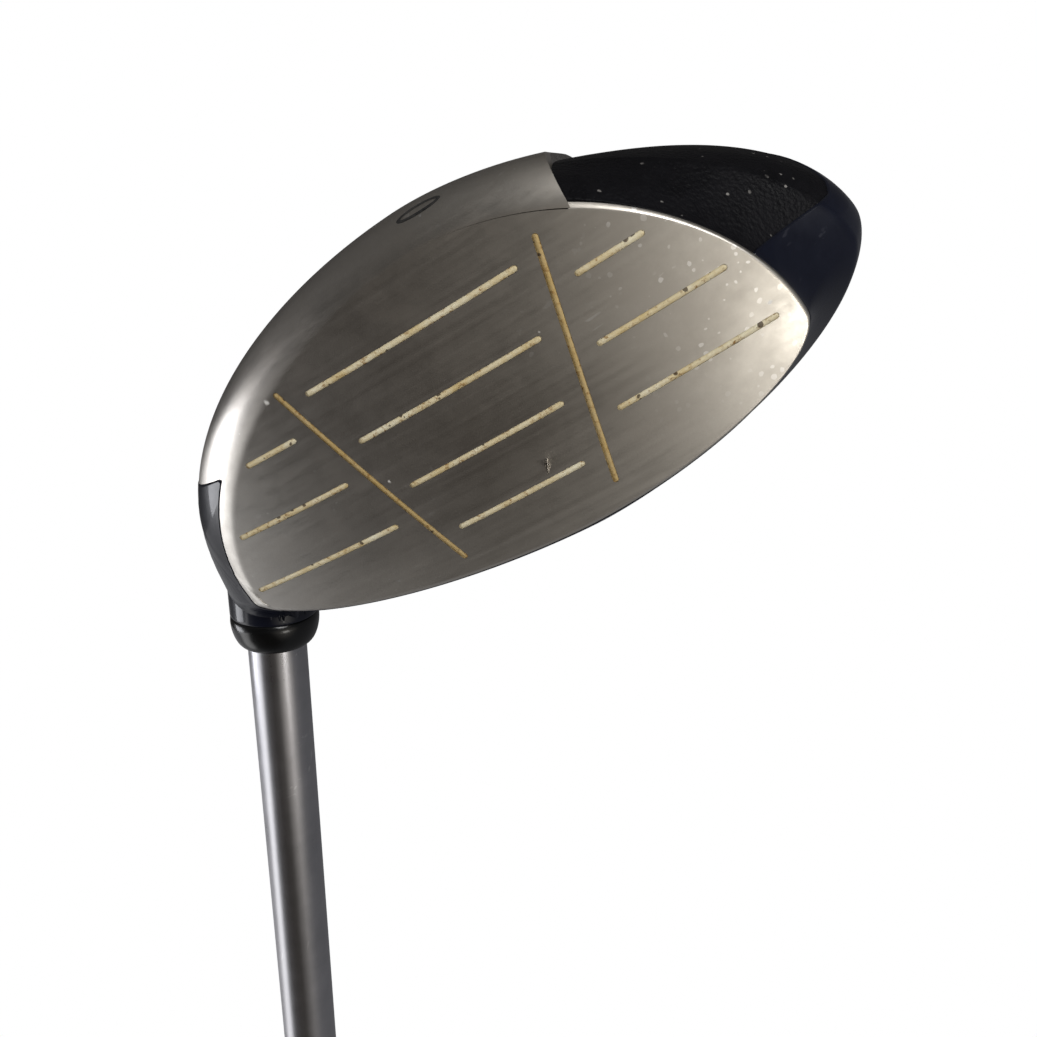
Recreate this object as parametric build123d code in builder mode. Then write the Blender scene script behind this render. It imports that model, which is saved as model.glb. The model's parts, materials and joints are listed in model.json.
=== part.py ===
from build123d import *
import os
from math import atan2, cos, degrees, pi, radians, sin, sqrt, tan

os.makedirs("parts", exist_ok=True)

# Fairway wood at address, right-handed, in millimetres.
# +X points to the toe, +Y to the target, +Z up. The origin is the point where the sole rests.

# ---- Club -------------------------------------------------------------------------------------
club_length = 1080.0        # along the shaft axis, from the ground to the butt
loft_angle = 15.0
lie_angle = 59.4
shaft_ground_x = -25.0      # where the shaft axis would meet the ground
shaft_axis_y = -8.2

# ---- Face: a half moon, measured in its own plane from the face centre ------------------------
face_centre_y = 8.0
face_centre_height = 23.2
face_toe = 38.0
face_heel = 40.0
face_crown = 19.6
face_sole = -18.9
face_waist = 9.6            # height at which the face is widest
face_thickness = 2.8
bulge_radius = 230.0        # heel to toe
roll_radius = 248.0         # sole to crown
form_centre_x = 5.0         # the sole is lowest and the crown highest here

# ---- Body behind the face ---------------------------------------------------------------------
head_depth = 64.0           # behind the face, square to it
face_fullness = (1.92, 1.66, 1.78, 1.84)    # the face's four quarters, from toe-crown round to toe-sole
body_fullness = (1.70, 1.75, 2.00, 1.66)    # the same for the body; 2 is an ellipse, less is more pointed
keel_fullness = 1.82        # the body's last quarter inside the keel
waist_fall = 2.2            # how quickly the widest height drops towards the rear
body_toe = 48.0
body_heel = 45.0
body_widest_depth = 16.0
edge_roll = 5.5             # depth of the rounded edge between the face and the body
heel_bevel = 10.0           # depth over which the heel slopes out from the face
heel_bevel_power = 2.6
toe_flare = 13.0            # depth over which the toe and its relief sweep out behind the face
crown_height = 44.6
crown_apex_depth = 18.0
sole_flat_depth = 22.0      # the sole starts to rise behind this
rear_height = 17.0          # height of the rearmost point
wall = 2.0                  # skirt, crown and sole

# ---- Keel, reliefs and seams of the sole ------------------------------------------------------
keel_toe_x = 22.0
keel_heel_x = -14.0
keel_front_depth = 9.0      # the sole plate starts behind the rolled leading edge here
sole_heel_x = -30.0         # the sole plate's edge at the heel
toe_seam_height = 0.3       # on the face's own height, where the painted toe meets the relief
heel_seam_height = 3.5     # the same at the heel, where the paint starts
seam_margin = 0.3           # rim of the face cup that shows around the face's outline
heel_relief_radius = 30.0
heel_relief_bite = 1.6
crown_seam_drop = 8.0       # degrees by which the crown seam falls faster than the face normal

# ---- Score lines ------------------------------------------------------------------------------
line_pitch = 7.8
line_width = 0.75
line_depth = 0.35
first_line_height = -11.8
slant_offset = 14.3         # the slanted lines' distance from the centre, at centre height
slant_slope = 0.232
slant_clear = 2.8           # from a slanted line to the ends beside it
slant_foot = -13.8
slant_top = 15.9
toe_line_margin = 2.6       # from the outer ends to the face's edge
heel_line_margin = 1.2

# ---- Hosel, ferrule and what is in the bore ---------------------------------------------------
hosel_radius = 6.3
hosel_bottom = 10.8         # stations on the shaft axis, from the ground
hosel_top = 40.3
hosel_edge = 2.5
shaft_tip_radius = 4.25
bond_gap = 0.12
tip_plug_length = 3.0
plug_chamfer = 0.4
tip_weight_length = 12.0
tip_weight_head = 0.8
ferrule_length = 5.6
ferrule_radius = 6.35
ferrule_dome = 2.0

# ---- Shaft ------------------------------------------------------------------------------------
shaft_butt_radius = 7.6
shaft_wall = 0.55
first_step = 205.0
step_pitch = 31.0
step_count = 18
step_slope = 0.8            # length of each step's cone
band_length = 38.0
band_gap = 25.0             # from the band to the grip's mouth
band_thickness = 0.15

# ---- Grip -------------------------------------------------------------------------------------
grip_length = 267.0
grip_mouth_radius = 8.9
grip_butt_radius = 13.4
tape_thickness = 0.2
tape_margin = 6.0
cap_radius = 14.8
cap_length = 9.0
cap_top = 3.0               # thickness over the end of the shaft
cap_edge = 3.0
vent_radius = 1.5

# ---- Paint-filled marks -----------------------------------------------------------------------
sole_mark_length = 7.0
sole_mark_width = 2.2
sole_mark_depth = 0.5
sole_mark_line = 0.7
sole_mark_x = 8.5
sole_mark_tilt = 15.0       # degrees by which its face leans forward from straight down

outline_points = 28
seam_points = 40
foam_gap = 0.3

# ---- Cutters -----------------------------------------------------------------------------------
overrun = 5.0               # how far a cutter reaches past what it cuts
zone_size = 90.0            # reach of the zones that part the shell
zone_start = -6.0           # they start this far in front of the face
face_reach = 60.0           # half-height of the block behind the face

cos_loft = cos(radians(loft_angle))
sin_loft = sin(radians(loft_angle))
lie = radians(lie_angle)

# Local x, y, z of this plane are: towards the toe, up the face, and straight back into the head.
face_plane = Plane(
    origin=(0, face_centre_y, face_centre_height), x_dir=(1, 0, 0), z_dir=(0, -cos_loft, -sin_loft)
)
# Local z of this plane runs up the shaft from the ground.
shaft_plane = Plane(
    origin=(shaft_ground_x, shaft_axis_y, 0), x_dir=(0, 1, 0), z_dir=(-cos(lie), 0, sin(lie))
)


def finish(piece, name):
    """Label a finished piece and write its file."""
    piece.part.label = name
    export_step(piece.part, f"parts/{name}.step")


def on_face_height(height, depth):
    """Height above the ground, as a height in the tilted section at this depth."""
    return (height - face_centre_height + depth * sin_loft) / cos_loft


def behind_face(x, y):
    """How far the bulged and rolled face has curved back at this place."""
    return x * x / (2 * bulge_radius) + y * y / (2 * roll_radius)


def rolled(depth):
    """0 at the face, 1 once the rounded edge has reached the body."""
    share = min(max(depth / edge_roll, 0), 1)
    return sqrt(1 - (1 - share) ** 2)


def flared(depth):
    """Like rolled, but hollow next to the face."""
    share = min(max(depth / toe_flare, 0), 1)
    return share * share * (3 - 2 * share)


def bevelled(depth):
    """Like rolled, but as the long soft bevel of the heel."""
    share = min(max(depth / heel_bevel, 0), 1)
    return 1 - (1 - share) ** heel_bevel_power


def rear_arc(depth, start):
    """1 up to the start, then a quarter of an ellipse that reaches 0 at the rear."""
    share = max(depth - start, 0) / (head_depth - start)
    return sqrt(max(1 - share * share, 0))


def section(depth, inset, hollow_toe):
    """Reaches of the head's outline in the plane at this depth: toe, heel, crown, sole, waist."""
    sweep = flared if hollow_toe else rolled
    width = rear_arc(depth, body_widest_depth)
    toe_share = sweep(depth - behind_face(face_toe, 0))
    heel_share = bevelled(depth - behind_face(face_heel, 0))
    edge_share = rolled(depth - behind_face(0, face_sole))
    toe = form_centre_x + (face_toe + (body_toe - face_toe) * toe_share - form_centre_x) * width
    heel = -form_centre_x + (face_heel + (body_heel - face_heel) * heel_share + form_centre_x) * width
    waist_height = face_centre_height + face_waist * cos_loft
    waist_share = (1 - min(depth / head_depth, 1)) ** waist_fall
    waist = rear_height + (waist_height - rear_height) * waist_share
    face_top = face_centre_height + face_crown * cos_loft
    if depth < crown_apex_depth:
        crown = crown_height - (crown_height - face_top) * (1 - depth / crown_apex_depth) ** 2
    else:
        crown = rear_height + (crown_height - rear_height) * rear_arc(depth, crown_apex_depth)
    sole = rear_height * (1 - rear_arc(depth, sole_flat_depth))
    low = face_sole + (on_face_height(sole, depth) - face_sole) * edge_share
    return (toe - inset, heel - inset, on_face_height(crown, depth) - inset, low + inset,
            on_face_height(waist, depth))


def fullness(depth, hollow_toe):
    """Exponents of the outline's four quarters, from toe-crown round to toe-sole."""
    share = rolled(depth)
    last = body_fullness[3] if hollow_toe else keel_fullness
    body_shape = (*body_fullness[:3], last)
    return [near + (rear - near) * share for near, rear in zip(face_fullness, body_shape)]


def outline(depth, inset=0.0, hollow_toe=False, count=outline_points):
    """Points of the head's outline: four quarters of superellipses round one centre."""
    toe, heel, crown, sole, waist = section(depth, inset, hollow_toe)
    powers = fullness(depth, hollow_toe)
    points = []
    for number in range(count):
        angle = 2 * pi * number / count
        across = cos(angle)
        up = sin(angle)
        quarter = int(4 * number / count)
        reach_x = toe - form_centre_x if across > 0 else heel + form_centre_x
        reach_y = crown - waist if up > 0 else waist - sole
        power = 2 / powers[quarter]
        x = form_centre_x + reach_x * abs(across) ** power * (1 if across > 0 else -1)
        y = waist + reach_y * abs(up) ** power * (1 if up > 0 else -1)
        points.append((x, y))
    return points


def head_form(stations, inset=0.0, hollow_toe=False):
    """Loft the head's outlines into one solid."""
    with BuildPart() as form:
        for depth in stations:
            with BuildSketch(face_plane.offset(depth)):
                with BuildLine():
                    Spline(*outline(depth, inset, hollow_toe), periodic=True)
                make_face()
        loft()
    return form.part


def face_limit(inset):
    """Everything behind the bulged and rolled face, set back by the inset."""
    drop = roll_radius - sqrt(roll_radius**2 - face_reach**2)
    side_view = Plane(face_plane.origin, x_dir=-face_plane.z_dir, z_dir=face_plane.x_dir)
    up = 1 if side_view.y_dir.Z > 0 else -1
    with BuildPart() as limit:
        with BuildSketch(side_view):
            with BuildLine():
                front = ThreePointArc(
                    (-inset - drop, -up * face_reach), (-inset, 0), (-inset - drop, up * face_reach)
                )
                Polyline(
                    front @ 1, (-bulge_radius, up * face_reach), (-bulge_radius, -up * face_reach), front @ 0
                )
            make_face()
        revolve(axis=Axis(face_plane.from_local_coords((0, 0, bulge_radius)), face_plane.y_dir))
    return limit.part


def face_edge_x(height, side):
    """Half-width of the face at this height: side is 1 for the toe, -1 for the heel."""
    above = height > face_waist
    reach_y = face_crown - face_waist if above else face_waist - face_sole
    if side > 0:
        power = face_fullness[0] if above else face_fullness[3]
        reach_x = face_toe - form_centre_x
    else:
        power = face_fullness[1] if above else face_fullness[2]
        reach_x = face_heel + form_centre_x
    share = abs(height - face_waist) / reach_y
    return form_centre_x + side * reach_x * (1 - share**power) ** (1 / power)


# ---- The head's outer form and its cavity -----------------------------------------------------
front_stations = [-1.0, 1.2, 3.0, 5.0, 7.5, 10.5]
body_stations = [
    body_widest_depth + (head_depth - body_widest_depth) * share
    for share in (0, 0.25, 0.5, 0.72, 0.88, 0.975)
]
step_plane = Plane(origin=(keel_toe_x, 0, 0), z_dir=(1, 0, 0))

with BuildPart() as toe_side:
    add(head_form(front_stations + body_stations, hollow_toe=True))
    split(bisect_by=step_plane, keep=Keep.TOP)

with BuildPart() as outer_form:
    add(head_form(front_stations + body_stations))
    split(bisect_by=step_plane, keep=Keep.BOTTOM)
    add(toe_side.part)
    add(face_limit(0), mode=Mode.INTERSECT)


def cavity_form(inset, face_inset):
    """The hollow inside the head, held off the outer form by the inset."""
    with BuildPart() as cavity:
        add(head_form(front_stations + body_stations[:-1], inset=inset, hollow_toe=True))
        add(face_limit(face_inset), mode=Mode.INTERSECT)
    return cavity.part


# ---- Hosel post: a tube through the heel, open at the sole -------------------------------------
with BuildPart() as hosel_post:
    with BuildSketch(shaft_plane.offset(hosel_bottom)):
        Circle(hosel_radius)
    extrude(amount=hosel_top - hosel_bottom)
    fillet(hosel_post.edges().sort_by(Axis((0, 0, 0), shaft_plane.z_dir))[0], hosel_edge)

with BuildPart() as bore:
    with BuildSketch(shaft_plane.offset(hosel_bottom - overrun)):
        Circle(shaft_tip_radius + bond_gap)
    extrude(amount=hosel_top - hosel_bottom + 2 * overrun)

with BuildPart() as shell:
    add(outer_form.part)
    add(cavity_form(wall, face_thickness), mode=Mode.SUBTRACT)

# ---- Zones that part the shell into the casting, the crown and the sole plate ------------------
seam_tilt = radians(loft_angle + crown_seam_drop)
seam_direction = Vector(0, -cos(seam_tilt), -sin(seam_tilt))
cup_depth = behind_face(face_heel, 0) + face_thickness


def seam_height(height, depth):
    """A seam's height in face coordinates, once it has fallen over this depth."""
    return height - depth * tan(radians(crown_seam_drop))


with BuildPart() as crown_zone:
    heel_start = seam_height(heel_seam_height, zone_start)
    toe_start = seam_height(toe_seam_height, zone_start)
    with BuildSketch(face_plane.offset(zone_start)):
        with BuildLine():
            Polyline(
                (keel_heel_x, heel_start), (-zone_size, heel_start), (-zone_size, zone_size),
                (zone_size, zone_size), (zone_size, toe_start), (keel_heel_x, toe_start), close=True,
            )
        make_face()
    extrude(amount=zone_size, dir=seam_direction)
    with BuildSketch(face_plane.offset(zone_start - overrun)):
        with BuildLine():
            Spline(*outline(0.0, inset=-seam_margin, count=seam_points), periodic=True)
        make_face()
    extrude(amount=cup_depth + overrun - zone_start, mode=Mode.SUBTRACT)

with BuildPart() as sole_zone:
    with BuildSketch(face_plane.offset(zone_start)):
        with Locations((keel_toe_x, toe_start)):
            Rectangle(zone_size, zone_size, align=(Align.MIN, Align.MAX))
    extrude(amount=zone_size, dir=seam_direction)
    with BuildSketch(face_plane.offset(zone_start - overrun)):
        with BuildLine():
            Spline(*outline(0.0, inset=-seam_margin, count=seam_points), periodic=True)
        make_face()
    extrude(amount=cup_depth + overrun - zone_start, mode=Mode.SUBTRACT)
    with BuildSketch(face_plane.offset(keel_front_depth)):
        with Locations((keel_toe_x, seam_height(toe_seam_height, keel_front_depth))):
            Rectangle(keel_toe_x - sole_heel_x, zone_size, align=(Align.MAX, Align.MAX))
    extrude(amount=zone_size, dir=seam_direction)

# A lying cylinder bites the heel relief out of the sole plate.
relief_x = (keel_heel_x + sole_heel_x) / 2
relief_section = section(body_widest_depth, 0, False)
relief_across = (relief_x - form_centre_x) / (relief_section[1] + form_centre_x)
relief_down = sqrt(1 - relief_across**2)
relief_reach = relief_section[4] - relief_section[3]
relief_y = relief_section[4] - relief_reach * relief_down
relief_lean = atan2(-relief_across / (relief_section[1] + form_centre_x), relief_down / relief_reach)
relief_point = face_plane.from_local_coords((relief_x, relief_y, body_widest_depth))
relief_centre = relief_point + Vector(-sin(relief_lean), 0, -cos(relief_lean)) * (
    heel_relief_radius - heel_relief_bite
)
with BuildPart() as heel_relief:
    with BuildSketch(Plane(origin=relief_centre, x_dir=(1, 0, 0), z_dir=(0, -1, 0))):
        Circle(heel_relief_radius)
    extrude(amount=zone_size, both=True)

# ---- Score lines: twelve grooves in the face, filled with paint --------------------------------


def slant_x(height):
    """Distance of the slanted lines from the face centre at this height."""
    return slant_offset - slant_slope * height


def line_ends():
    """Both ends of each of the twelve lines, in face coordinates."""
    ends = []
    for row in range(4):
        height = first_line_height + row * line_pitch
        reach = slant_x(height) - slant_clear
        ends.append(((-reach, height), (reach, height)))
    for row in range(3):
        height = first_line_height + (row + 0.5) * line_pitch
        start = slant_x(height) + slant_clear
        ends.append(((start, height), (face_edge_x(height, 1) - toe_line_margin, height)))
        ends.append(((-start, height), (face_edge_x(height, -1) + heel_line_margin, height)))
    for side in (1, -1):
        top = (side * slant_x(slant_top), slant_top)
        foot = (side * slant_x(slant_foot), slant_foot)
        ends.append((foot, top))
    return ends


with BuildPart() as line_slots:
    with BuildSketch(face_plane.offset(-overrun)):
        for start, end in line_ends():
            run = Vector(*end) - Vector(*start)
            middle = (Vector(*start) + Vector(*end)) / 2
            with Locations(middle):
                SlotOverall(run.length, line_width, rotation=degrees(atan2(run.Y, run.X)))
    extrude(amount=overrun + cup_depth)

with BuildPart() as face_lines:
    add(line_slots.part)
    add(face_limit(0), mode=Mode.INTERSECT)
    add(face_limit(line_depth), mode=Mode.SUBTRACT)

# ---- Paint-filled marks on the sole's edge and on the crown ------------------------------------
mark_section = section(edge_roll, 0, False)
mark_point = face_plane.from_local_coords((sole_mark_x, mark_section[3], edge_roll))
mark_out = Vector(0, sin(radians(sole_mark_tilt)), -cos(radians(sole_mark_tilt)))
with BuildPart() as sole_mark_paint:
    with BuildSketch(Plane(origin=mark_point - mark_out * sole_mark_depth, x_dir=(1, 0, 0), z_dir=mark_out)):
        Ellipse(sole_mark_length / 2, sole_mark_width / 2)
        Ellipse(
            sole_mark_length / 2 - sole_mark_line, sole_mark_width / 2 - sole_mark_line, mode=Mode.SUBTRACT
        )
    extrude(amount=overrun)
    add(outer_form.part, mode=Mode.INTERSECT)


# ---- The welded head ---------------------------------------------------------------------------
with BuildPart() as crown_shell:
    add(shell.part)
    add(crown_zone.part, mode=Mode.INTERSECT)
    add(hosel_post.part, mode=Mode.SUBTRACT)

with BuildPart() as sole_plate:
    add(shell.part)
    add(sole_zone.part, mode=Mode.INTERSECT)
    add(crown_zone.part, mode=Mode.SUBTRACT)
    add(hosel_post.part, mode=Mode.SUBTRACT)
    add(heel_relief.part, mode=Mode.SUBTRACT)

with BuildPart() as head_casting:
    add(shell.part)
    add(crown_zone.part, mode=Mode.SUBTRACT)
    add(sole_zone.part, mode=Mode.SUBTRACT)
    add(hosel_post.part)
    add(bore.part, mode=Mode.SUBTRACT)
    add(face_lines.part, mode=Mode.SUBTRACT)
    add(sole_mark_paint.part, mode=Mode.SUBTRACT)

with BuildPart() as foam_core:
    add(cavity_form(wall + foam_gap, face_thickness + foam_gap))
    with BuildSketch(shaft_plane.offset(hosel_bottom - overrun)):
        Circle(hosel_radius + foam_gap)
    extrude(amount=hosel_top - hosel_bottom + 2 * overrun, mode=Mode.SUBTRACT)

# ---- What sits in the bore, from the sole up ---------------------------------------------------
shaft_start = hosel_bottom + tip_plug_length + tip_weight_head
turning_plane_normal = Vector(0, 1, 0).cross(shaft_plane.z_dir)


def turned(profile):
    """Revolve a closed profile of (radius, station) points around the shaft axis."""
    with BuildPart() as body:
        with BuildSketch(Plane(shaft_plane.origin, x_dir=(0, 1, 0), z_dir=turning_plane_normal)):
            with BuildLine():
                Polyline(*profile, close=True)
            make_face()
        revolve(axis=Axis(shaft_plane.origin, shaft_plane.z_dir))
    return body.part


with BuildPart() as tip_plug:
    with BuildSketch(shaft_plane.offset(hosel_bottom)):
        Circle(shaft_tip_radius + bond_gap)
    extrude(amount=tip_plug_length)
    chamfer(tip_plug.edges().sort_by(Axis((0, 0, 0), shaft_plane.z_dir))[0], plug_chamfer)

with BuildPart() as tip_weight:
    with BuildSketch(shaft_plane.offset(hosel_bottom + tip_plug_length)):
        Circle(shaft_tip_radius)
    extrude(amount=tip_weight_head)
    with BuildSketch(shaft_plane.offset(shaft_start)):
        Circle(shaft_tip_radius - shaft_wall)
    extrude(amount=tip_weight_length)

with BuildPart() as hosel_bond:
    add(turned([
        (shaft_tip_radius, hosel_bottom + tip_plug_length),
        (shaft_tip_radius + bond_gap, hosel_bottom + tip_plug_length),
        (shaft_tip_radius + bond_gap, hosel_top),
        (shaft_tip_radius, hosel_top),
    ]))

with BuildPart() as ferrule:
    with BuildSketch(shaft_plane.offset(hosel_top)):
        Circle(ferrule_radius)
    extrude(amount=ferrule_length)
    fillet(ferrule.edges().sort_by(Axis((0, 0, 0), shaft_plane.z_dir))[-1], ferrule_dome)
    with BuildSketch(shaft_plane.offset(hosel_top)):
        Circle(shaft_tip_radius)
    extrude(amount=ferrule_length, mode=Mode.SUBTRACT)

# ---- Shaft: one tube that grows by small steps from the tip to the butt ------------------------
shaft_end = club_length - cap_top
step_rise = (shaft_butt_radius - shaft_tip_radius) / step_count
steps = [(shaft_tip_radius, shaft_start)]
for number in range(step_count):
    station = first_step + number * step_pitch
    steps.append((shaft_tip_radius + number * step_rise, station))
    steps.append((shaft_tip_radius + (number + 1) * step_rise, station + step_slope))
steps.append((shaft_butt_radius, shaft_end))
inside = [(radius - shaft_wall, station) for radius, station in reversed(steps)]
with BuildPart() as shaft:
    add(turned(steps + inside))

grip_mouth = club_length - grip_length
band_start = grip_mouth - band_gap - band_length
with BuildPart() as shaft_band:
    add(turned([
        (shaft_butt_radius, band_start),
        (shaft_butt_radius + band_thickness, band_start),
        (shaft_butt_radius + band_thickness, band_start + band_length),
        (shaft_butt_radius, band_start + band_length),
    ]))

# ---- Grip: tape, rubber sleeve and a butt cap with a vent hole ---------------------------------
cap_start = club_length - cap_length
tape_radius = shaft_butt_radius + tape_thickness
with BuildPart() as grip_tape:
    add(turned([
        (shaft_butt_radius, grip_mouth + tape_margin),
        (tape_radius, grip_mouth + tape_margin),
        (tape_radius, shaft_end),
        (shaft_butt_radius, shaft_end),
    ]))

with BuildPart() as grip_sleeve:
    add(turned([
        (shaft_butt_radius, grip_mouth),
        (grip_mouth_radius, grip_mouth),
        (grip_mouth_radius, grip_mouth + tape_margin),
        (grip_butt_radius, cap_start),
        (tape_radius, cap_start),
        (tape_radius, grip_mouth + tape_margin),
        (shaft_butt_radius, grip_mouth + tape_margin),
    ]))

with BuildPart() as grip_cap:
    with BuildSketch(shaft_plane.offset(cap_start)):
        Circle(cap_radius)
    extrude(amount=cap_length)
    fillet(grip_cap.edges().sort_by(Axis((0, 0, 0), shaft_plane.z_dir))[-1], cap_edge)
    with BuildSketch(shaft_plane.offset(cap_start)):
        Circle(tape_radius)
    extrude(amount=cap_length - cap_top, mode=Mode.SUBTRACT)
    with BuildSketch(shaft_plane.offset(cap_start)):
        Circle(vent_radius)
    extrude(amount=cap_length, mode=Mode.SUBTRACT)

finish(head_casting, "head_casting")
finish(crown_shell, "crown_shell")
finish(sole_plate, "sole_plate")
finish(foam_core, "foam_core")
finish(face_lines, "face_lines")
finish(sole_mark_paint, "sole_mark_paint")
finish(tip_plug, "tip_plug")
finish(tip_weight, "tip_weight")
finish(hosel_bond, "hosel_bond")
finish(ferrule, "ferrule")
finish(shaft, "shaft")
finish(shaft_band, "shaft_band")
finish(grip_tape, "grip_tape")
finish(grip_sleeve, "grip_sleeve")
finish(grip_cap, "grip_cap")
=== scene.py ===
import json
from math import cos, pi, radians, sin, tau

import bmesh
import bpy
import numpy as np
from mathutils import Matrix, Vector

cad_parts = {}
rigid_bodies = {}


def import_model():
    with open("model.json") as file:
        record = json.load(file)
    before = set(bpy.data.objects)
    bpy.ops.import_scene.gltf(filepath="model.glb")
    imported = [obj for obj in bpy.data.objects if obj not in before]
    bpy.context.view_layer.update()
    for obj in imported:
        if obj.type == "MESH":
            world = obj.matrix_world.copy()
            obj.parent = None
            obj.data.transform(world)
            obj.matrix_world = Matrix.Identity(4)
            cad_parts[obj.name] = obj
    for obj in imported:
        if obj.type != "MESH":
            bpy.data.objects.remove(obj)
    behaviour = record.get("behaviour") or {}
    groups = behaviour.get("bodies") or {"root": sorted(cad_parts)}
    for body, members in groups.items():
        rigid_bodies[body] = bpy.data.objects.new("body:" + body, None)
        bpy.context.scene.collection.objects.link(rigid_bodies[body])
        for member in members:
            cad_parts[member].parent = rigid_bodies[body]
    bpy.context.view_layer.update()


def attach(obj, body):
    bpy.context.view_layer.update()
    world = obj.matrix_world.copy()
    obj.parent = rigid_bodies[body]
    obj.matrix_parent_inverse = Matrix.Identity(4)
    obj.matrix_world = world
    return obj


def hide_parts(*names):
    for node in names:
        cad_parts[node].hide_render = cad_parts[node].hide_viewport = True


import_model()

# ================================================================================================
# Sizes, in millimetres. The head is worked in face coordinates: x towards the toe, y up the face
# and z straight back into the head. Pieces on the shaft are worked in stations along its axis.
# ================================================================================================
MM = 0.001

LOFT = radians(15.0)
LIE = radians(59.4)
FACE_CENTRE = np.array([0.0, 8.0, 23.2])
SHAFT_FOOT = np.array([-25.0, -8.2, 0.0])
CLUB_LENGTH = 1080.0

FACE_TOE = 38.0
FACE_HEEL = 40.0
FACE_CROWN = 19.6
FACE_SOLE = -18.9
FACE_WAIST = 9.6
FACE_FULLNESS = (1.92, 1.66, 1.78, 1.84)
BODY_FULLNESS = (1.70, 1.75, 2.00, 1.66)
KEEL_FULLNESS = 1.82
KEEL_EASE_START = 22.0       # depth from which the keel takes the body's fullness
KEEL_EASE_LENGTH = 16.0
BULGE_RADIUS = 230.0
ROLL_RADIUS = 248.0
BULGE_FADE = 8.0             # depth over which the face's curve dies out
FORM_CENTRE = 5.0

HEAD_DEPTH = 64.0
BODY_TOE = 48.0
BODY_HEEL = 45.0
WIDEST_DEPTH = 16.0
EDGE_ROLL = 5.5
EDGE_POWER = 2.0
EDGE_ROUND = 0.8             # depth of the tight round where the sole side leaves the face
EDGE_ROUND_SHARE = 0.14
RIM_RADIUS = 0.45
HEEL_BEVEL = 10.0
HEEL_BEVEL_POWER = 2.6
CREST_DEPTH = 9.5
CREST_SHARE = 0.80
FLARE_POWER = 1.7
CROWN_HEIGHT = 44.6
CROWN_APEX_DEPTH = 18.0
SOLE_FLAT_DEPTH = 22.0
REAR_HEIGHT = 17.0
WAIST_FALL = 2.2

KEEL_TOE = 22.0
KEEL_HEEL = -14.0
SOLE_HEEL = -30.0
PLATE_FRONT = 9.0
TOE_SEAM = 0.25
TOE_SEAM_RISE = 0.14
TOE_SEAM_KNEE = 12.0
TOE_SEAM_FALL = 0.24
HEEL_SEAM = -8.0
HEEL_SEAM_KNEE = 12.0
HEEL_SEAM_FALL = 0.12
RELIEF_DEPTH = 1.1
RELIEF_LAP = 2.0             # how far the toe relief runs on under the keel
WALL = 1.3
FACE_WALL = 2.4
HEEL_RIM = 0.9               # how far the bare steel rim reaches back before the paint starts
CROWN_RIM = 0.25
TOE_RIM = 0.7
PAINT_PROUD = 0.08
HOSEL_OPENING = 5.2          # radius left open in the painted shell, inside the hosel
REAR_ROWS = 50               # rows of the mesh from the widest section to the rear
FLOOR_DROP = 0.30            # metres below the ground that the floor lies

MARK_X = 8.1
MARK_DEPTH = 2.2
MARK_SLOPE = 0.07            # how fast the mark moves back towards the toe
MARK_LENGTH = 5.4
MARK_WIDTH = 1.1
MARK_INNER = 0.80            # the ring's hole, as a share of its length
MARK_PROUD = 0.03
MARK_SINK = 0.15

LINE_PITCH = 7.8
LINE_WIDTH = 0.75
LINE_DEPTH = 0.35
PAINT_SINK = 0.08
FIRST_LINE = -11.8
SLANT_OFFSET = 14.3
SLANT_SLOPE = 0.232
SLANT_CLEAR = 2.8
SLANT_FOOT = -13.8
SLANT_TOP = 15.9
TOE_LINE_MARGIN = 2.6
HEEL_LINE_MARGIN = 1.2

HOSEL_RADIUS = 6.3
HOSEL_BOTTOM = 10.8
HOSEL_TOP = 40.3
HOSEL_BLEND = 5.0
HOSEL_SPLIT = 26.0           # station where the bare foot ends and the painted neck starts
HOSEL_GROWS_FROM = 23.8
HOSEL_TAPER_START = 30.0     # above this the shell draws in, to end inside the neck
HOSEL_TAPER = 0.08
TIP_RADIUS = 4.25
BOND_GAP = 0.12
PLUG_LENGTH = 3.0
WEIGHT_HEAD = 0.8
FERRULE_LENGTH = 5.6
FERRULE_RADIUS = 6.35
FERRULE_BEAD = 4.7           # length of the turned bead that shows
BEAD_POWER = 1.15

BUTT_RADIUS = 7.6
SHAFT_WALL = 0.55
FIRST_STEP = 205.0
STEP_PITCH = 31.0
STEP_COUNT = 18
STEP_SLOPE = 0.8
BAND_START = 750.0
BAND_LENGTH = 38.0
BAND_THICKNESS = 0.15

GRIP_LENGTH = 267.0
GRIP_MOUTH_RADIUS = 8.9
GRIP_BUTT_RADIUS = 13.4
TAPE_THICKNESS = 0.2
TAPE_MARGIN = 6.0
CAP_RADIUS = 14.8
CAP_LENGTH = 9.0
CAP_TOP = 3.0
VENT_RADIUS = 1.5

# ================================================================================================
# Frames
# ================================================================================================
FACE_X = np.array([1.0, 0.0, 0.0])
FACE_Y = np.array([0.0, -sin(LOFT), cos(LOFT)])
FACE_Z = np.array([0.0, -cos(LOFT), -sin(LOFT)])
SHAFT_Z = np.array([-cos(LIE), 0.0, sin(LIE)])
SHAFT_X = np.array([0.0, 1.0, 0.0])
SHAFT_Y = np.cross(SHAFT_Z, SHAFT_X)


def from_face(points):
    """Face coordinates in millimetres to the row frame in metres."""
    points = np.asarray(points, float)
    row = FACE_CENTRE + points[..., :1] * FACE_X + points[..., 1:2] * FACE_Y + points[..., 2:] * FACE_Z
    return row * MM


def to_face(point):
    """A row-frame point in millimetres to face coordinates."""
    offset = np.asarray(point, float) - FACE_CENTRE
    return np.array([offset @ FACE_X, offset @ FACE_Y, offset @ FACE_Z])


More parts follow.
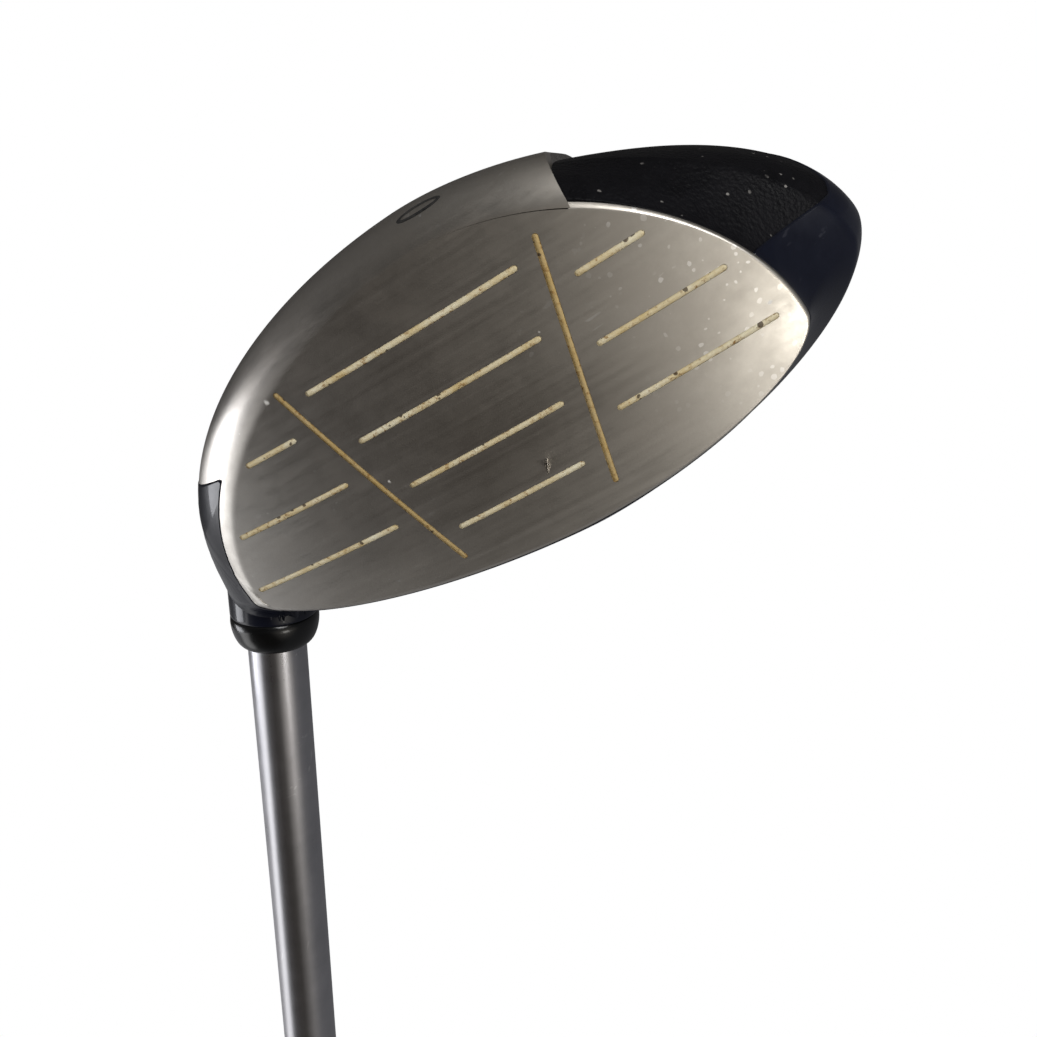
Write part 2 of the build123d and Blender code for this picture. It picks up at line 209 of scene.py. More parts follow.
def on_shaft(radius, turn, station):
    """A point round the shaft axis, in metres in the row frame."""
    radius, turn, station = np.broadcast_arrays(radius, turn, station)
    row = (SHAFT_FOOT + station[..., None] * SHAFT_Z + (radius * np.cos(turn))[..., None] * SHAFT_X
           + (radius * np.sin(turn))[..., None] * SHAFT_Y)
    return row * MM


HOSEL_FOOT = to_face(SHAFT_FOOT)
HOSEL_DIRECTION = np.array([SHAFT_Z @ FACE_X, SHAFT_Z @ FACE_Y, SHAFT_Z @ FACE_Z])

# ================================================================================================
# The head's form
# ================================================================================================


def face_depth(x, y):
    """How far the bulged and rolled face curves back."""
    return x * x / (2 * BULGE_RADIUS) + y * y / (2 * ROLL_RADIUS)


def section_height(height, depth):
    """A height above the ground, as a height in the tilted section at this depth."""
    return (height - FACE_CENTRE[2] + depth * sin(LOFT)) / cos(LOFT)


def rolled(depth):
    """The rounded leading edge: 0 at the face, 1 on the body."""
    share = np.clip(depth / EDGE_ROLL, 0, 1)
    return np.sqrt(1 - (1 - share) ** 2)


def edge_drop(depth):
    """The sole side of the leading edge: a tight round, then a soft bevel."""
    tight = np.clip(depth / EDGE_ROUND, 0, 1)
    soft = np.clip(depth / EDGE_ROLL, 0, 1)
    bevel_drop = 1 - (1 - soft) ** EDGE_POWER
    return EDGE_ROUND_SHARE * np.sqrt(1 - (1 - tight) ** 2) + (1 - EDGE_ROUND_SHARE) * bevel_drop


def flared(depth):
    """The hollow toe: it sweeps out to a crest and rounds over from there."""
    inner = CREST_SHARE * np.clip(depth / CREST_DEPTH, 0, 1) ** FLARE_POWER
    outer = np.clip((depth - CREST_DEPTH) / (WIDEST_DEPTH - CREST_DEPTH), 0, 1)
    return inner + (1 - CREST_SHARE) * np.sin(outer * pi / 2)


def bevelled(depth):
    """The long soft bevel of the heel."""
    return 1 - (1 - np.clip(depth / HEEL_BEVEL, 0, 1)) ** HEEL_BEVEL_POWER


def rim(depth):
    """Inset of the small round on the face's edge."""
    share = np.clip(depth / RIM_RADIUS, 0, 1)
    return RIM_RADIUS * (1 - np.sqrt(1 - (1 - share) ** 2))


def rear_arc(depth, start):
    """1 up to the start, then a quarter of an ellipse that reaches 0 at the rear."""
    share = np.clip((depth - start) / (HEAD_DEPTH - start), 0, 1)
    return np.sqrt(1 - share**2)


def section(depth, hollow):
    """Toe, heel, crown, sole and waist of the section at this depth behind the face."""
    width = rear_arc(depth, WIDEST_DEPTH)
    toe_share = flared(depth) if hollow else rolled(depth)
    toe_reach = FACE_TOE + (BODY_TOE - FACE_TOE) * toe_share - (rim(depth) if hollow else 0)
    heel_reach = FACE_HEEL + (BODY_HEEL - FACE_HEEL) * bevelled(depth) - rim(depth)
    toe = FORM_CENTRE + (toe_reach - FORM_CENTRE) * width
    heel = -FORM_CENTRE + (heel_reach + FORM_CENTRE) * width
    waist_top = FACE_CENTRE[2] + FACE_WAIST * cos(LOFT)
    waist = REAR_HEIGHT + (waist_top - REAR_HEIGHT) * (1 - np.clip(depth / HEAD_DEPTH, 0, 1)) ** WAIST_FALL
    face_top = FACE_CENTRE[2] + FACE_CROWN * cos(LOFT)
    front_crown = CROWN_HEIGHT - (CROWN_HEIGHT - face_top) * (
        1 - np.clip(depth / CROWN_APEX_DEPTH, 0, 1)
    ) ** 2
    rear_crown = REAR_HEIGHT + (CROWN_HEIGHT - REAR_HEIGHT) * rear_arc(depth, CROWN_APEX_DEPTH)
    crown = np.where(depth < CROWN_APEX_DEPTH, front_crown, rear_crown)
    sole = REAR_HEIGHT * (1 - rear_arc(depth, SOLE_FLAT_DEPTH))
    low = FACE_SOLE + (section_height(sole, depth) - FACE_SOLE) * edge_drop(depth)
    return toe, heel, section_height(crown, depth) - rim(depth), low, section_height(waist, depth)


def fullness(depth, hollow):
    """Exponents of the four quarters, from toe-crown round to toe-sole."""
    share = rolled(depth)
    ease = np.clip((depth - KEEL_EASE_START) / KEEL_EASE_LENGTH, 0, 1)
    keel = KEEL_FULLNESS + (BODY_FULLNESS[3] - KEEL_FULLNESS) * ease
    sole_toe = BODY_FULLNESS[3] if hollow else keel
    body = (BODY_FULLNESS[0], BODY_FULLNESS[1], BODY_FULLNESS[2], sole_toe)
    return [near + (far - near) * share for near, far in zip(FACE_FULLNESS, body)]


def skin(depth, turn, hollow):
    """Points of the head's skin in face coordinates, before the hosel is blended in."""
    depth, turn = np.broadcast_arrays(np.asarray(depth, float), np.asarray(turn, float))
    toe, heel, crown, sole, waist = section(depth, hollow)
    powers = fullness(depth, hollow)
    across = np.cos(turn)
    up = np.sin(turn)
    power = np.where(
        across > 0, np.where(up > 0, powers[0], powers[3]), np.where(up > 0, powers[1], powers[2])
    )
    reach_x = np.where(across > 0, toe - FORM_CENTRE, heel + FORM_CENTRE)
    reach_y = np.where(up > 0, crown - waist, waist - sole)
    x = FORM_CENTRE + reach_x * np.sign(across) * np.abs(across) ** (2 / power)
    y = waist + reach_y * np.sign(up) * np.abs(up) ** (2 / power)
    z = depth + face_depth(x, y) * np.exp(-depth / BULGE_FADE)
    return np.stack([x, y, z], -1)


def turn_at_x(x, depth, hollow):
    """Where the sole side of the section crosses this x."""
    depth = np.asarray(depth, float)
    toe, heel, crown, sole, waist = section(depth, hollow)
    powers = fullness(depth, hollow)
    if x > FORM_CENTRE:
        share = np.clip((x - FORM_CENTRE) / np.maximum(toe - FORM_CENTRE, 1e-6), 0, 1)
        return -np.arccos(share ** (powers[3] / 2))
    share = np.clip((FORM_CENTRE - x) / np.maximum(heel + FORM_CENTRE, 1e-6), 0, 1)
    return -pi + np.arccos(share ** (powers[2] / 2))


def toe_seam_turn(depth):
    """The seam between the painted toe and the sole: it rises to a knee, then falls."""
    depth = np.asarray(depth, float)
    toe, heel, crown, sole, waist = section(depth, True)
    height = TOE_SEAM + TOE_SEAM_RISE * np.minimum(depth, TOE_SEAM_KNEE)
    height = height - TOE_SEAM_FALL * np.clip(depth - TOE_SEAM_KNEE, 0, None)
    share = np.clip((waist - height) / (waist - sole), 0, 1)
    return -np.arcsin(share ** (fullness(depth, True)[3] / 2))


def heel_seam_turn(depth):
    """The paint's edge at the heel: straight back, then falling a little."""
    depth = np.asarray(depth, float)
    toe, heel, crown, sole, waist = section(depth, True)
    height = HEEL_SEAM - HEEL_SEAM_FALL * np.clip(depth - HEEL_SEAM_KNEE, 0, None)
    share = np.clip((waist - height) / (waist - sole), 0, 1)
    return -pi + np.arcsin(share ** (fullness(depth, True)[2] / 2))


def rim_depth(turn):
    """Where the bare rim of the face ends and the paint starts."""
    side = np.cos(turn)
    heel_share = np.clip(-side, 0, 1) ** 2
    toe_share = np.clip(side, 0, 1) ** 2
    return CROWN_RIM + (HEEL_RIM - CROWN_RIM) * heel_share + (TOE_RIM - CROWN_RIM) * toe_share


def smooth_union(a, b, reach):
    blend = np.clip(reach - np.abs(a - b), 0, None) / reach
    return np.minimum(a, b) - blend * blend * reach / 4


def outward(depth, turn, hollow):
    """Unit normals of the skin, by small differences."""
    step = 1e-3
    along = skin(depth + step, turn, hollow) - skin(depth, turn, hollow)
    round_it = skin(depth, turn + step, hollow) - skin(depth, turn, hollow)
    normal = np.cross(round_it, along)
    length = np.linalg.norm(normal, axis=-1, keepdims=True)
    return normal / np.maximum(length, 1e-12)


def blended_skin(depth, turn, hollow):
    """The head's skin with the hosel post grown out of the heel."""
    depth, turn = np.broadcast_arrays(np.asarray(depth, float), np.asarray(turn, float))
    points = skin(depth, turn, hollow)
    flat = points.reshape(-1, 3)
    normals = outward(depth, turn, hollow).reshape(-1, 3)
    offset = flat - HOSEL_FOOT
    near = np.linalg.norm(offset - (offset @ HOSEL_DIRECTION)[:, None] * HOSEL_DIRECTION, axis=1) < 20
    near &= (flat[:, 0] < -15)
    chosen = np.where(near)[0]
    if len(chosen) == 0:
        return points
    travel = np.linspace(0, 10, 201)
    start = flat[chosen][None]
    trial = start + travel[:, None, None] * normals[chosen][None]
    offset = trial - HOSEL_FOOT
    station = offset @ HOSEL_DIRECTION
    narrowed = HOSEL_RADIUS - HOSEL_TAPER * np.clip(station - HOSEL_TAPER_START, 0, None)
    radial = np.linalg.norm(offset - station[..., None] * HOSEL_DIRECTION, axis=-1) - narrowed
    post = np.maximum(radial, HOSEL_GROWS_FROM - station)
    outside = smooth_union(np.broadcast_to(travel[:, None], post.shape), post, HOSEL_BLEND) >= 0
    below_mouth = station < HOSEL_TOP - 0.1
    first = np.argmax(outside, axis=0)
    highest = np.maximum(below_mouth.sum(axis=0) - 1, 0)
    pick = np.minimum(first, highest)
    moved = flat.copy()
    moved[chosen] = trial[pick, np.arange(len(chosen))]
    return moved.reshape(points.shape)


# ================================================================================================
# Mesh helpers
# ================================================================================================


def link(name, mesh):
    piece = bpy.data.objects.new(name, mesh)
    bpy.context.scene.collection.objects.link(piece)
    return piece


def grid_faces(rows, columns, wrap=False, start=0):
    """Quads of a grid of points stored row by row."""
    faces = []
    last = columns if wrap else columns - 1
    for row in range(rows - 1):
        for column in range(last):
            beside = (column + 1) % columns
            a = start + row * columns + column
            b = start + row * columns + beside
            faces.append((a, b, b + columns, a + columns))
    return faces


def mesh_from(name, points, faces, merge=1e-6, flip=False, smooth=radians(40)):
    mesh = bpy.data.meshes.new(name)
    mesh.from_pydata([tuple(p) for p in points], [], faces)
    work = bmesh.new()
    work.from_mesh(mesh)
    bmesh.ops.remove_doubles(work, verts=work.verts, dist=merge)
    bmesh.ops.dissolve_degenerate(work, edges=work.edges, dist=merge / 2)
    bmesh.ops.delete(work, geom=[edge for edge in work.edges if not edge.link_faces], context="EDGES")
    bmesh.ops.delete(work, geom=[vert for vert in work.verts if not vert.link_faces], context="VERTS")
    if flip:
        bmesh.ops.reverse_faces(work, faces=work.faces)
    work.to_mesh(mesh)
    work.free()
    mesh.shade_smooth()
    mesh.set_sharp_from_angle(angle=smooth)
    return mesh


def face_outward(mesh, merge=None):
    """Turn the faces of a closed mesh outward, after joining points that are nearer than merge."""
    work = bmesh.new()
    work.from_mesh(mesh)
    if merge:
        bmesh.ops.remove_doubles(work, verts=work.verts, dist=merge)
    bmesh.ops.recalc_face_normals(work, faces=work.faces)
    work.to_mesh(mesh)
    work.free()


def bake_modifiers(piece):
    """Turn the piece's modifiers into its mesh."""
    result = bpy.data.meshes.new_from_object(piece.evaluated_get(bpy.context.evaluated_depsgraph_get()))
    piece.modifiers.clear()
    old = piece.data
    piece.data = result
    bpy.data.meshes.remove(old)
    return piece


def solidify(piece, thickness):
    wall = piece.modifiers.new("wall", "SOLIDIFY")
    wall.thickness = thickness * MM
    wall.offset = -1
    wall.use_even_offset = False
    wall.use_rim = True
    return bake_modifiers(piece)


def sharpen(piece, angle=40):
    piece.data.shade_smooth()
    piece.data.set_sharp_from_angle(angle=radians(angle))
    return piece


def turned(name, profile, segments=96, closed=True):
    """Revolve a profile of (radius, station) points round the shaft axis."""
    profile = list(profile)
    count = len(profile)
    turns = np.arange(segments) / segments * tau
    points = []
    for radius, station in profile:
        points.extend(on_shaft(radius, turns, station))
    if closed:
        points.extend(points[:segments])
        count += 1
    faces = grid_faces(count, segments, wrap=True)
    mesh = mesh_from(name, points, faces, merge=1e-7)
    face_outward(mesh)
    return link(name, mesh)


def round_corner(centre, radius, start, end, steps=6):
    """Points of an arc in a profile, angles in degrees from +radius towards +station."""
    angles = np.radians(np.linspace(start, end, steps + 1))
    return [(centre[0] + radius * cos(a), centre[1] + radius * sin(a)) for a in angles]


def place(piece, slot, material, *nodes):
    """Finish a piece: its material, the body it rides on and the nodes that it stands for."""
    piece.data.materials.clear()
    piece.data.materials.append(material)
    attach(piece, "root")
    if nodes:
        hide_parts(*nodes)
    return piece

# ================================================================================================
# Shader groups: effects that several finishes share
# ================================================================================================


def new_group(name, inputs, outputs):
    group = bpy.data.node_groups.new(name, "ShaderNodeTree")
    for label, kind, value in inputs:
        socket = group.interface.new_socket(label, in_out="INPUT", socket_type=kind)
        socket.default_value = value
    for label, kind in outputs:
        group.interface.new_socket(label, in_out="OUTPUT", socket_type=kind)
    return group, group.nodes.new("NodeGroupInput"), group.nodes.new("NodeGroupOutput")


def add_node(tree, kind, links=(), **values):
    """Add a node; values set its properties and links feed its inputs by index or name."""
    node = tree.nodes.new(kind)
    for key, value in values.items():
        setattr(node, key, value)
    for target, source in dict(links).items():
        if isinstance(source, bpy.types.NodeSocket):
            tree.links.new(source, node.inputs[target])
        else:
            node.inputs[target].default_value = source
    return node


def math_node(tree, operation, a, b=0.5, c=None, clamp=False):
    links = {0: a, 1: b}
    if c is not None:
        links[2] = c
    return add_node(tree, "ShaderNodeMath", links, operation=operation, use_clamp=clamp).outputs[0]


def between(tree, value, low, high, out_low=0.0, out_high=1.0):
    """Map a value from one range to another, clamped."""
    links = {0: value, 1: low, 2: high, 3: out_low, 4: out_high}
    return add_node(tree, "ShaderNodeMapRange", links).outputs[0]


def mix_colour(tree, factor, a, b, blend="MIX"):
    node = add_node(tree, "ShaderNodeMix", data_type="RGBA", blend_type=blend)
    for socket, source in ((node.inputs[0], factor), (node.inputs[6], a), (node.inputs[7], b)):
        if isinstance(source, bpy.types.NodeSocket):
            tree.links.new(source, socket)
        elif isinstance(source, tuple):
            socket.default_value = (*source, 1)
        else:
            socket.default_value = source
    return node.outputs[2]


def noise(tree, vector, scale, detail=2.0, roughness=0.5, distortion=0.0):
    links = {
        "Vector": vector, "Scale": scale, "Detail": detail, "Roughness": roughness, "Distortion": distortion
    }
    return add_node(tree, "ShaderNodeTexNoise", links).outputs[0]


def make_specks_group():
    """Small round specks of dust or chips, in a share of the cells of a grid."""
    group, given, out = new_group(
        "specks",
        [("Vector", "NodeSocketVector", (0, 0, 0)), ("Cell", "NodeSocketFloat", 0.002),
         ("Share", "NodeSocketFloat", 0.1), ("Size", "NodeSocketFloat", 0.2)],
        [("Mask", "NodeSocketFloat")],
    )
    scale = math_node(group, "DIVIDE", 1.0, given.outputs["Cell"])
    warp = add_node(
        group, "ShaderNodeTexNoise", {"Vector": given.outputs["Vector"], "Scale": 900.0}
    ).outputs[1]
    moved = add_node(
        group, "ShaderNodeVectorMath", {0: warp, 1: (0.0006, 0.0006, 0.0006)}, operation="MULTIPLY"
    )
    spot = add_node(
        group, "ShaderNodeVectorMath", {0: given.outputs["Vector"], 1: moved.outputs[0]}, operation="ADD"
    )
    cells = add_node(group, "ShaderNodeTexVoronoi", {"Vector": spot.outputs[0], "Scale": scale})
    split = add_node(group, "ShaderNodeSeparateColor", {0: cells.outputs["Color"]})
    chosen = math_node(group, "LESS_THAN", split.outputs[0], given.outputs["Share"])
    reach = math_node(group, "MULTIPLY", given.outputs["Size"], split.outputs[1])
    inside = math_node(group, "SUBTRACT", reach, cells.outputs["Distance"])
    soft = math_node(group, "MULTIPLY", inside, 18.0, clamp=True)
    group.links.new(math_node(group, "MULTIPLY", soft, chosen), out.inputs[0])
    return group


def make_scratch_group():
    """Fine straight scratches in two directions."""
    group, given, out = new_group(
        "scratches",
        [("Vector", "NodeSocketVector", (0, 0, 0)), ("Length", "NodeSocketFloat", 0.012),
         ("Width", "NodeSocketFloat", 0.0002), ("Share", "NodeSocketFloat", 0.4)],
        [("Mask", "NodeSocketFloat")],
    )
    parts = []
    for turn in (0.35, 1.25):
        turned_vector = add_node(
            group, "ShaderNodeVectorRotate",
            {"Vector": given.outputs["Vector"], "Angle": turn}, rotation_type="Y_AXIS"
        ).outputs[0]
        along = math_node(group, "DIVIDE", 1.0, given.outputs["Length"])
        across = math_node(group, "DIVIDE", 1.0, given.outputs["Width"])
        stretch = add_node(group, "ShaderNodeCombineXYZ", {0: along, 1: across, 2: across})
        flat = add_node(
            group, "ShaderNodeVectorMath", {0: turned_vector, 1: stretch.outputs[0]}, operation="MULTIPLY"
        ).outputs[0]
        grain = noise(group, flat, 0.25, 1.0)
        patches = noise(group, given.outputs["Vector"], 70.0 + 40 * turn, 2.0)
        fine = between(group, grain, 0.66, 0.72)
        low = math_node(group, "SUBTRACT", 0.75, math_node(group, "MULTIPLY", given.outputs["Share"], 0.4))
        where = between(group, patches, low, 0.75)
        parts.append(math_node(group, "MULTIPLY", fine, where))
    group.links.new(math_node(group, "MAXIMUM", parts[0], parts[1]), out.inputs[0])
    return group


def make_grain_group():
    """Brushed grain along one axis and slow patches, for satin metal."""
    group, given, out = new_group(
        "brushed grain",
        [("Vector", "NodeSocketVector", (0, 0, 0)), ("Length", "NodeSocketFloat", 0.02),
         ("Width", "NodeSocketFloat", 0.0003)],
        [("Grain", "NodeSocketFloat"), ("Patches", "NodeSocketFloat")],
    )
    along = math_node(group, "DIVIDE", 1.0, given.outputs["Length"])
    across = math_node(group, "DIVIDE", 1.0, given.outputs["Width"])
    stretch = add_node(group, "ShaderNodeCombineXYZ", {0: along, 1: across, 2: across})
    flat = add_node(
        group, "ShaderNodeVectorMath",
        {0: given.outputs["Vector"], 1: stretch.outputs[0]}, operation="MULTIPLY"
    ).outputs[0]
    group.links.new(noise(group, flat, 0.5, 4.0, 0.6), out.inputs[0])
    group.links.new(noise(group, given.outputs["Vector"], 85.0, 4.0, 0.6), out.inputs[1])
    return group


def make_pitted_group():
    """A close, pebbled texture: moulded or crinkled coatings."""
    group, given, out = new_group(
        "pebbled",
        [("Vector", "NodeSocketVector", (0, 0, 0)), ("Cell", "NodeSocketFloat", 0.0006)],
        [("Height", "NodeSocketFloat")],
    )
    scale = math_node(group, "DIVIDE", 1.0, given.outputs["Cell"])
    rough = noise(group, given.outputs["Vector"], scale, 3.0, 0.6)
    cells = add_node(
        group, "ShaderNodeTexVoronoi",
        {"Vector": given.outputs["Vector"], "Scale": scale}, feature="SMOOTH_F1"
    )
    both = math_node(group, "MULTIPLY_ADD", cells.outputs["Distance"], 0.6, rough)
    group.links.new(both, out.inputs[0])
    return group


def make_smudge_group():
    """Soft cloudy smudges with finer breaks."""
    group, given, out = new_group(
        "smudges",
        [("Vector", "NodeSocketVector", (0, 0, 0)), ("Size", "NodeSocketFloat", 0.02)],
        [("Mask", "NodeSocketFloat")],
    )
    scale = math_node(group, "DIVIDE", 1.0, given.outputs["Size"])
    wide = noise(group, given.outputs["Vector"], scale, 3.0, 0.65, 0.4)
    fine = noise(group, given.outputs["Vector"], math_node(group, "MULTIPLY", scale, 9.0), 3.0, 0.7)
    both = math_node(group, "MULTIPLY_ADD", fine, 0.35, math_node(group, "MULTIPLY", wide, 0.75))
    group.links.new(between(group, both, 0.38, 0.68), out.inputs[0])
    return group


SPECKS = make_specks_group()
SCRATCHES = make_scratch_group()
GRAIN = make_grain_group()
PEBBLED = make_pitted_group()
SMUDGES = make_smudge_group()


def use(tree, group, vector, output=0, **values):
    """Place a shared effect in a material, with its own sizes."""
    node = add_node(tree, "ShaderNodeGroup", node_tree=group)
    tree.links.new(vector, node.inputs["Vector"])
    for key, value in values.items():
        node.inputs[key].default_value = value
    return node.outputs[output]


def new_material(name, **shader_values):
    material = bpy.data.materials.new(name)
    material.use_nodes = True
    tree = material.node_tree
    shader = tree.nodes["Principled BSDF"]
    for key, value in shader_values.items():
        label = key.replace("_", " ").title().replace("Ior", "IOR")
        shader.inputs[label].default_value = value
    return material, tree, shader


def bump(tree, shader, height, distance, strength=1.0):
    node = add_node(tree, "ShaderNodeBump", {"Height": height, "Distance": distance, "Strength": strength})
    tree.links.new(node.outputs[0], shader.inputs["Normal"])


def face_coordinates(tree):
    """Object coordinates turned into face coordinates: x to the toe, y up the face."""
    source = add_node(tree, "ShaderNodeTexCoord").outputs["Object"]
    parts = []
    for axis in (FACE_X, FACE_Y, FACE_Z):
        offset = -float(np.dot(FACE_CENTRE, axis)) * MM
        along = add_node(tree, "ShaderNodeVectorMath", {0: source, 1: tuple(axis)}, operation="DOT_PRODUCT")
        parts.append(math_node(tree, "ADD", along.outputs["Value"], offset))
    return add_node(tree, "ShaderNodeCombineXYZ", {0: parts[0], 1: parts[1], 2: parts[2]}).outputs[0]


def shaft_coordinates(tree):
    """Object coordinates with z along the shaft, as stations from the ground."""
    source = add_node(tree, "ShaderNodeTexCoord").outputs["Object"]
    parts = []
    for axis in (SHAFT_X, SHAFT_Y, SHAFT_Z):
        offset = -float(np.dot(SHAFT_FOOT, axis)) * MM
        along = add_node(tree, "ShaderNodeVectorMath", {0: source, 1: tuple(axis)}, operation="DOT_PRODUCT")
        parts.append(math_node(tree, "ADD", along.outputs["Value"], offset))
    return add_node(tree, "ShaderNodeCombineXYZ", {0: parts[0], 1: parts[1], 2: parts[2]}).outputs[0]


def make_face_steel():
    """Satin stainless steel with a brushed grain, ball marks and dust, plus painted shade (darker at the
    centre and low on the face) and painted highlights (lighter at the toe, the crown side and the heel).
    """
    material, tree, shader = new_material("face steel", metallic=1.0, roughness=0.34)
    place_ = face_coordinates(tree)
    grain = use(tree, GRAIN, place_, 0, Length=0.03, Width=0.00035)
    patches = use(tree, GRAIN, place_, 1)
    scratches = use(tree, SCRATCHES, place_, 0, Share=0.35)
    smudges = use(tree, SMUDGES, place_, 0, Size=0.016)
    dust = use(tree, SPECKS, place_, 0, Cell=0.0032, Share=0.35, Size=0.11)
    split = add_node(tree, "ShaderNodeSeparateXYZ", {0: place_})
    # Painted highlight: the face is lightened towards the toe.
    toe_share = between(tree, split.outputs[0], -0.012, 0.032)
    # Painted shade: darker towards the middle of the face.
    centre = math_node(
        tree, "SUBTRACT", 1.0, between(tree, math_node(tree, "ABSOLUTE", split.outputs[0]), 0.0, 0.030)
    )
    base = mix_colour(tree, patches, (0.50, 0.475, 0.44), (0.66, 0.64, 0.60))
    # Painted shade: darker low on the face.
    low_face_painted_shade = between(tree, split.outputs[1], -0.004, -0.018)
    # Painted highlights: lighter towards the crown side and towards the heel.
    crown_side_painted_highlight = between(tree, split.outputs[1], 0.006, 0.0185)
    heel_share = between(tree, split.outputs[0], -0.024, -0.038)
    # Painted shade mixed in: darker centre, then darker low on the face.
    base = mix_colour(tree, math_node(tree, "MULTIPLY", centre, 0.50), base, (0.36, 0.32, 0.28))
    base = mix_colour(tree, math_node(tree, "MULTIPLY", low_face_painted_shade, 0.35), base, (0.34, 0.31, 0.28))
    # Painted highlights mixed in: toe, crown side and heel.
    base = mix_colour(tree, math_node(tree, "MULTIPLY", toe_share, 0.5), base, (0.74, 0.70, 0.62))
    base = mix_colour(tree, math_node(tree, "MULTIPLY", crown_side_painted_highlight, 0.75), base, (0.98, 0.94, 0.86))
    base = mix_colour(tree, math_node(tree, "MULTIPLY", heel_share, 0.6), base, (0.86, 0.84, 0.80))
    base = mix_colour(tree, math_node(tree, "MULTIPLY", smudges, 0.30), base, (0.26, 0.22, 0.18))
    worn_cells = use(tree, SPECKS, place_, 0, Cell=0.0011, Share=0.6, Size=0.34)
    worn_corner = math_node(tree, "MULTIPLY", between(tree, split.outputs[0], 0.016, 0.034), smudges)
    wear = math_node(tree, "MULTIPLY", worn_cells, worn_corner)
    base = mix_colour(tree, wear, base, (0.97, 0.95, 0.92))
    base = mix_colour(tree, math_node(tree, "MULTIPLY", scratches, 0.5), base, (0.88, 0.87, 0.85))
    base = mix_colour(tree, dust, base, (0.86, 0.84, 0.80))
    tree.links.new(base, shader.inputs["Base Color"])
    rough = math_node(tree, "MULTIPLY_ADD", grain, 0.14, 0.25)
    rough = math_node(tree, "MULTIPLY_ADD", smudges, 0.10, rough)
    tree.links.new(rough, shader.inputs["Roughness"])
    metal = math_node(tree, "SUBTRACT", 1.0, math_node(tree, "MULTIPLY", dust, 0.8))
    tree.links.new(metal, shader.inputs["Metallic"])
    height = math_node(tree, "MULTIPLY_ADD", scratches, -0.6, grain)
    bump(tree, shader, height, 0.00002, 0.35)
    return material


def make_sole_steel():
    """Polished stainless steel on the rolled leading edge and the keel."""
    material, tree, shader = new_material("sole steel", metallic=1.0, roughness=0.22)
    place_ = face_coordinates(tree)
    grain = use(tree, GRAIN, place_, 0, Length=0.03, Width=0.00035)
    smudges = use(tree, SMUDGES, place_, 0, Size=0.02)
    scratches = use(tree, SCRATCHES, place_, 0, Share=0.55, Width=0.00018)
    base = mix_colour(tree, smudges, (0.62, 0.60, 0.58), (0.50, 0.47, 0.44))
    base = mix_colour(tree, math_node(tree, "MULTIPLY", scratches, 0.5), base, (0.85, 0.84, 0.82))
    tree.links.new(base, shader.inputs["Base Color"])
    rough = math_node(tree, "MULTIPLY_ADD", grain, 0.12, 0.17)
    rough = math_node(tree, "MULTIPLY_ADD", smudges, 0.08, rough)
    tree.links.new(rough, shader.inputs["Roughness"])
    bump(tree, shader, math_node(tree, "MULTIPLY_ADD", scratches, -0.6, grain), 0.00002, 0.3)
    return material


def make_crown_paint():
    """Gloss navy-black paint under a clear coat, with dust and swirls."""
    material, tree, shader = new_material(
        "crown paint", roughness=0.30, coat_weight=0.35, coat_roughness=0.06, coat_ior=1.5
    )
    shader.inputs["Specular IOR Level"].default_value = 0.25
    place_ = face_coordinates(tree)
    smudges = use(tree, SMUDGES, place_, 0, Size=0.03)
    dust = use(tree, SPECKS, place_, 0, Cell=0.0045, Share=0.22, Size=0.10)
    scratches = use(tree, SCRATCHES, place_, 0, Share=0.3, Width=0.00015)
    base = mix_colour(tree, smudges, (0.0016, 0.0026, 0.0080), (0.0040, 0.0056, 0.0150))
    base = mix_colour(tree, math_node(tree, "MULTIPLY", scratches, 0.12), base, (0.25, 0.25, 0.30))
    base = mix_colour(tree, dust, base, (0.62, 0.62, 0.62))
    tree.links.new(base, shader.inputs["Base Color"])
    rough = math_node(tree, "MULTIPLY_ADD", smudges, 0.14, 0.22)
    tree.links.new(rough, shader.inputs["Roughness"])
    height = noise(tree, place_, 900.0, 2.0)
    bump(tree, shader, math_node(tree, "ADD", height, dust), 0.00001, 0.25)
    return material


def make_relief_paint():
    """Black crinkle enamel with bright dust caught in it."""
    material, tree, shader = new_material("relief enamel", roughness=0.45, specular_ior_level=0.12)
    place_ = face_coordinates(tree)
    pebbles = use(tree, PEBBLED, place_, 0, Cell=0.0005)
    smudges = use(tree, SMUDGES, place_, 0, Size=0.012)
    dust = use(tree, SPECKS, place_, 0, Cell=0.0012, Share=0.30, Size=0.22)
    where = use(tree, SMUDGES, place_, 0, Size=0.006)
    dust = math_node(tree, "MULTIPLY", dust, where)
    base = mix_colour(tree, smudges, (0.0015, 0.0015, 0.0022), (0.0060, 0.0058, 0.0075))
    base = mix_colour(tree, dust, base, (0.42, 0.40, 0.38))
    tree.links.new(base, shader.inputs["Base Color"])
    rough = math_node(tree, "MULTIPLY_ADD", smudges, 0.18, 0.36)
    tree.links.new(rough, shader.inputs["Roughness"])
    bump(tree, shader, pebbles, 0.00018, 0.8)
    return material


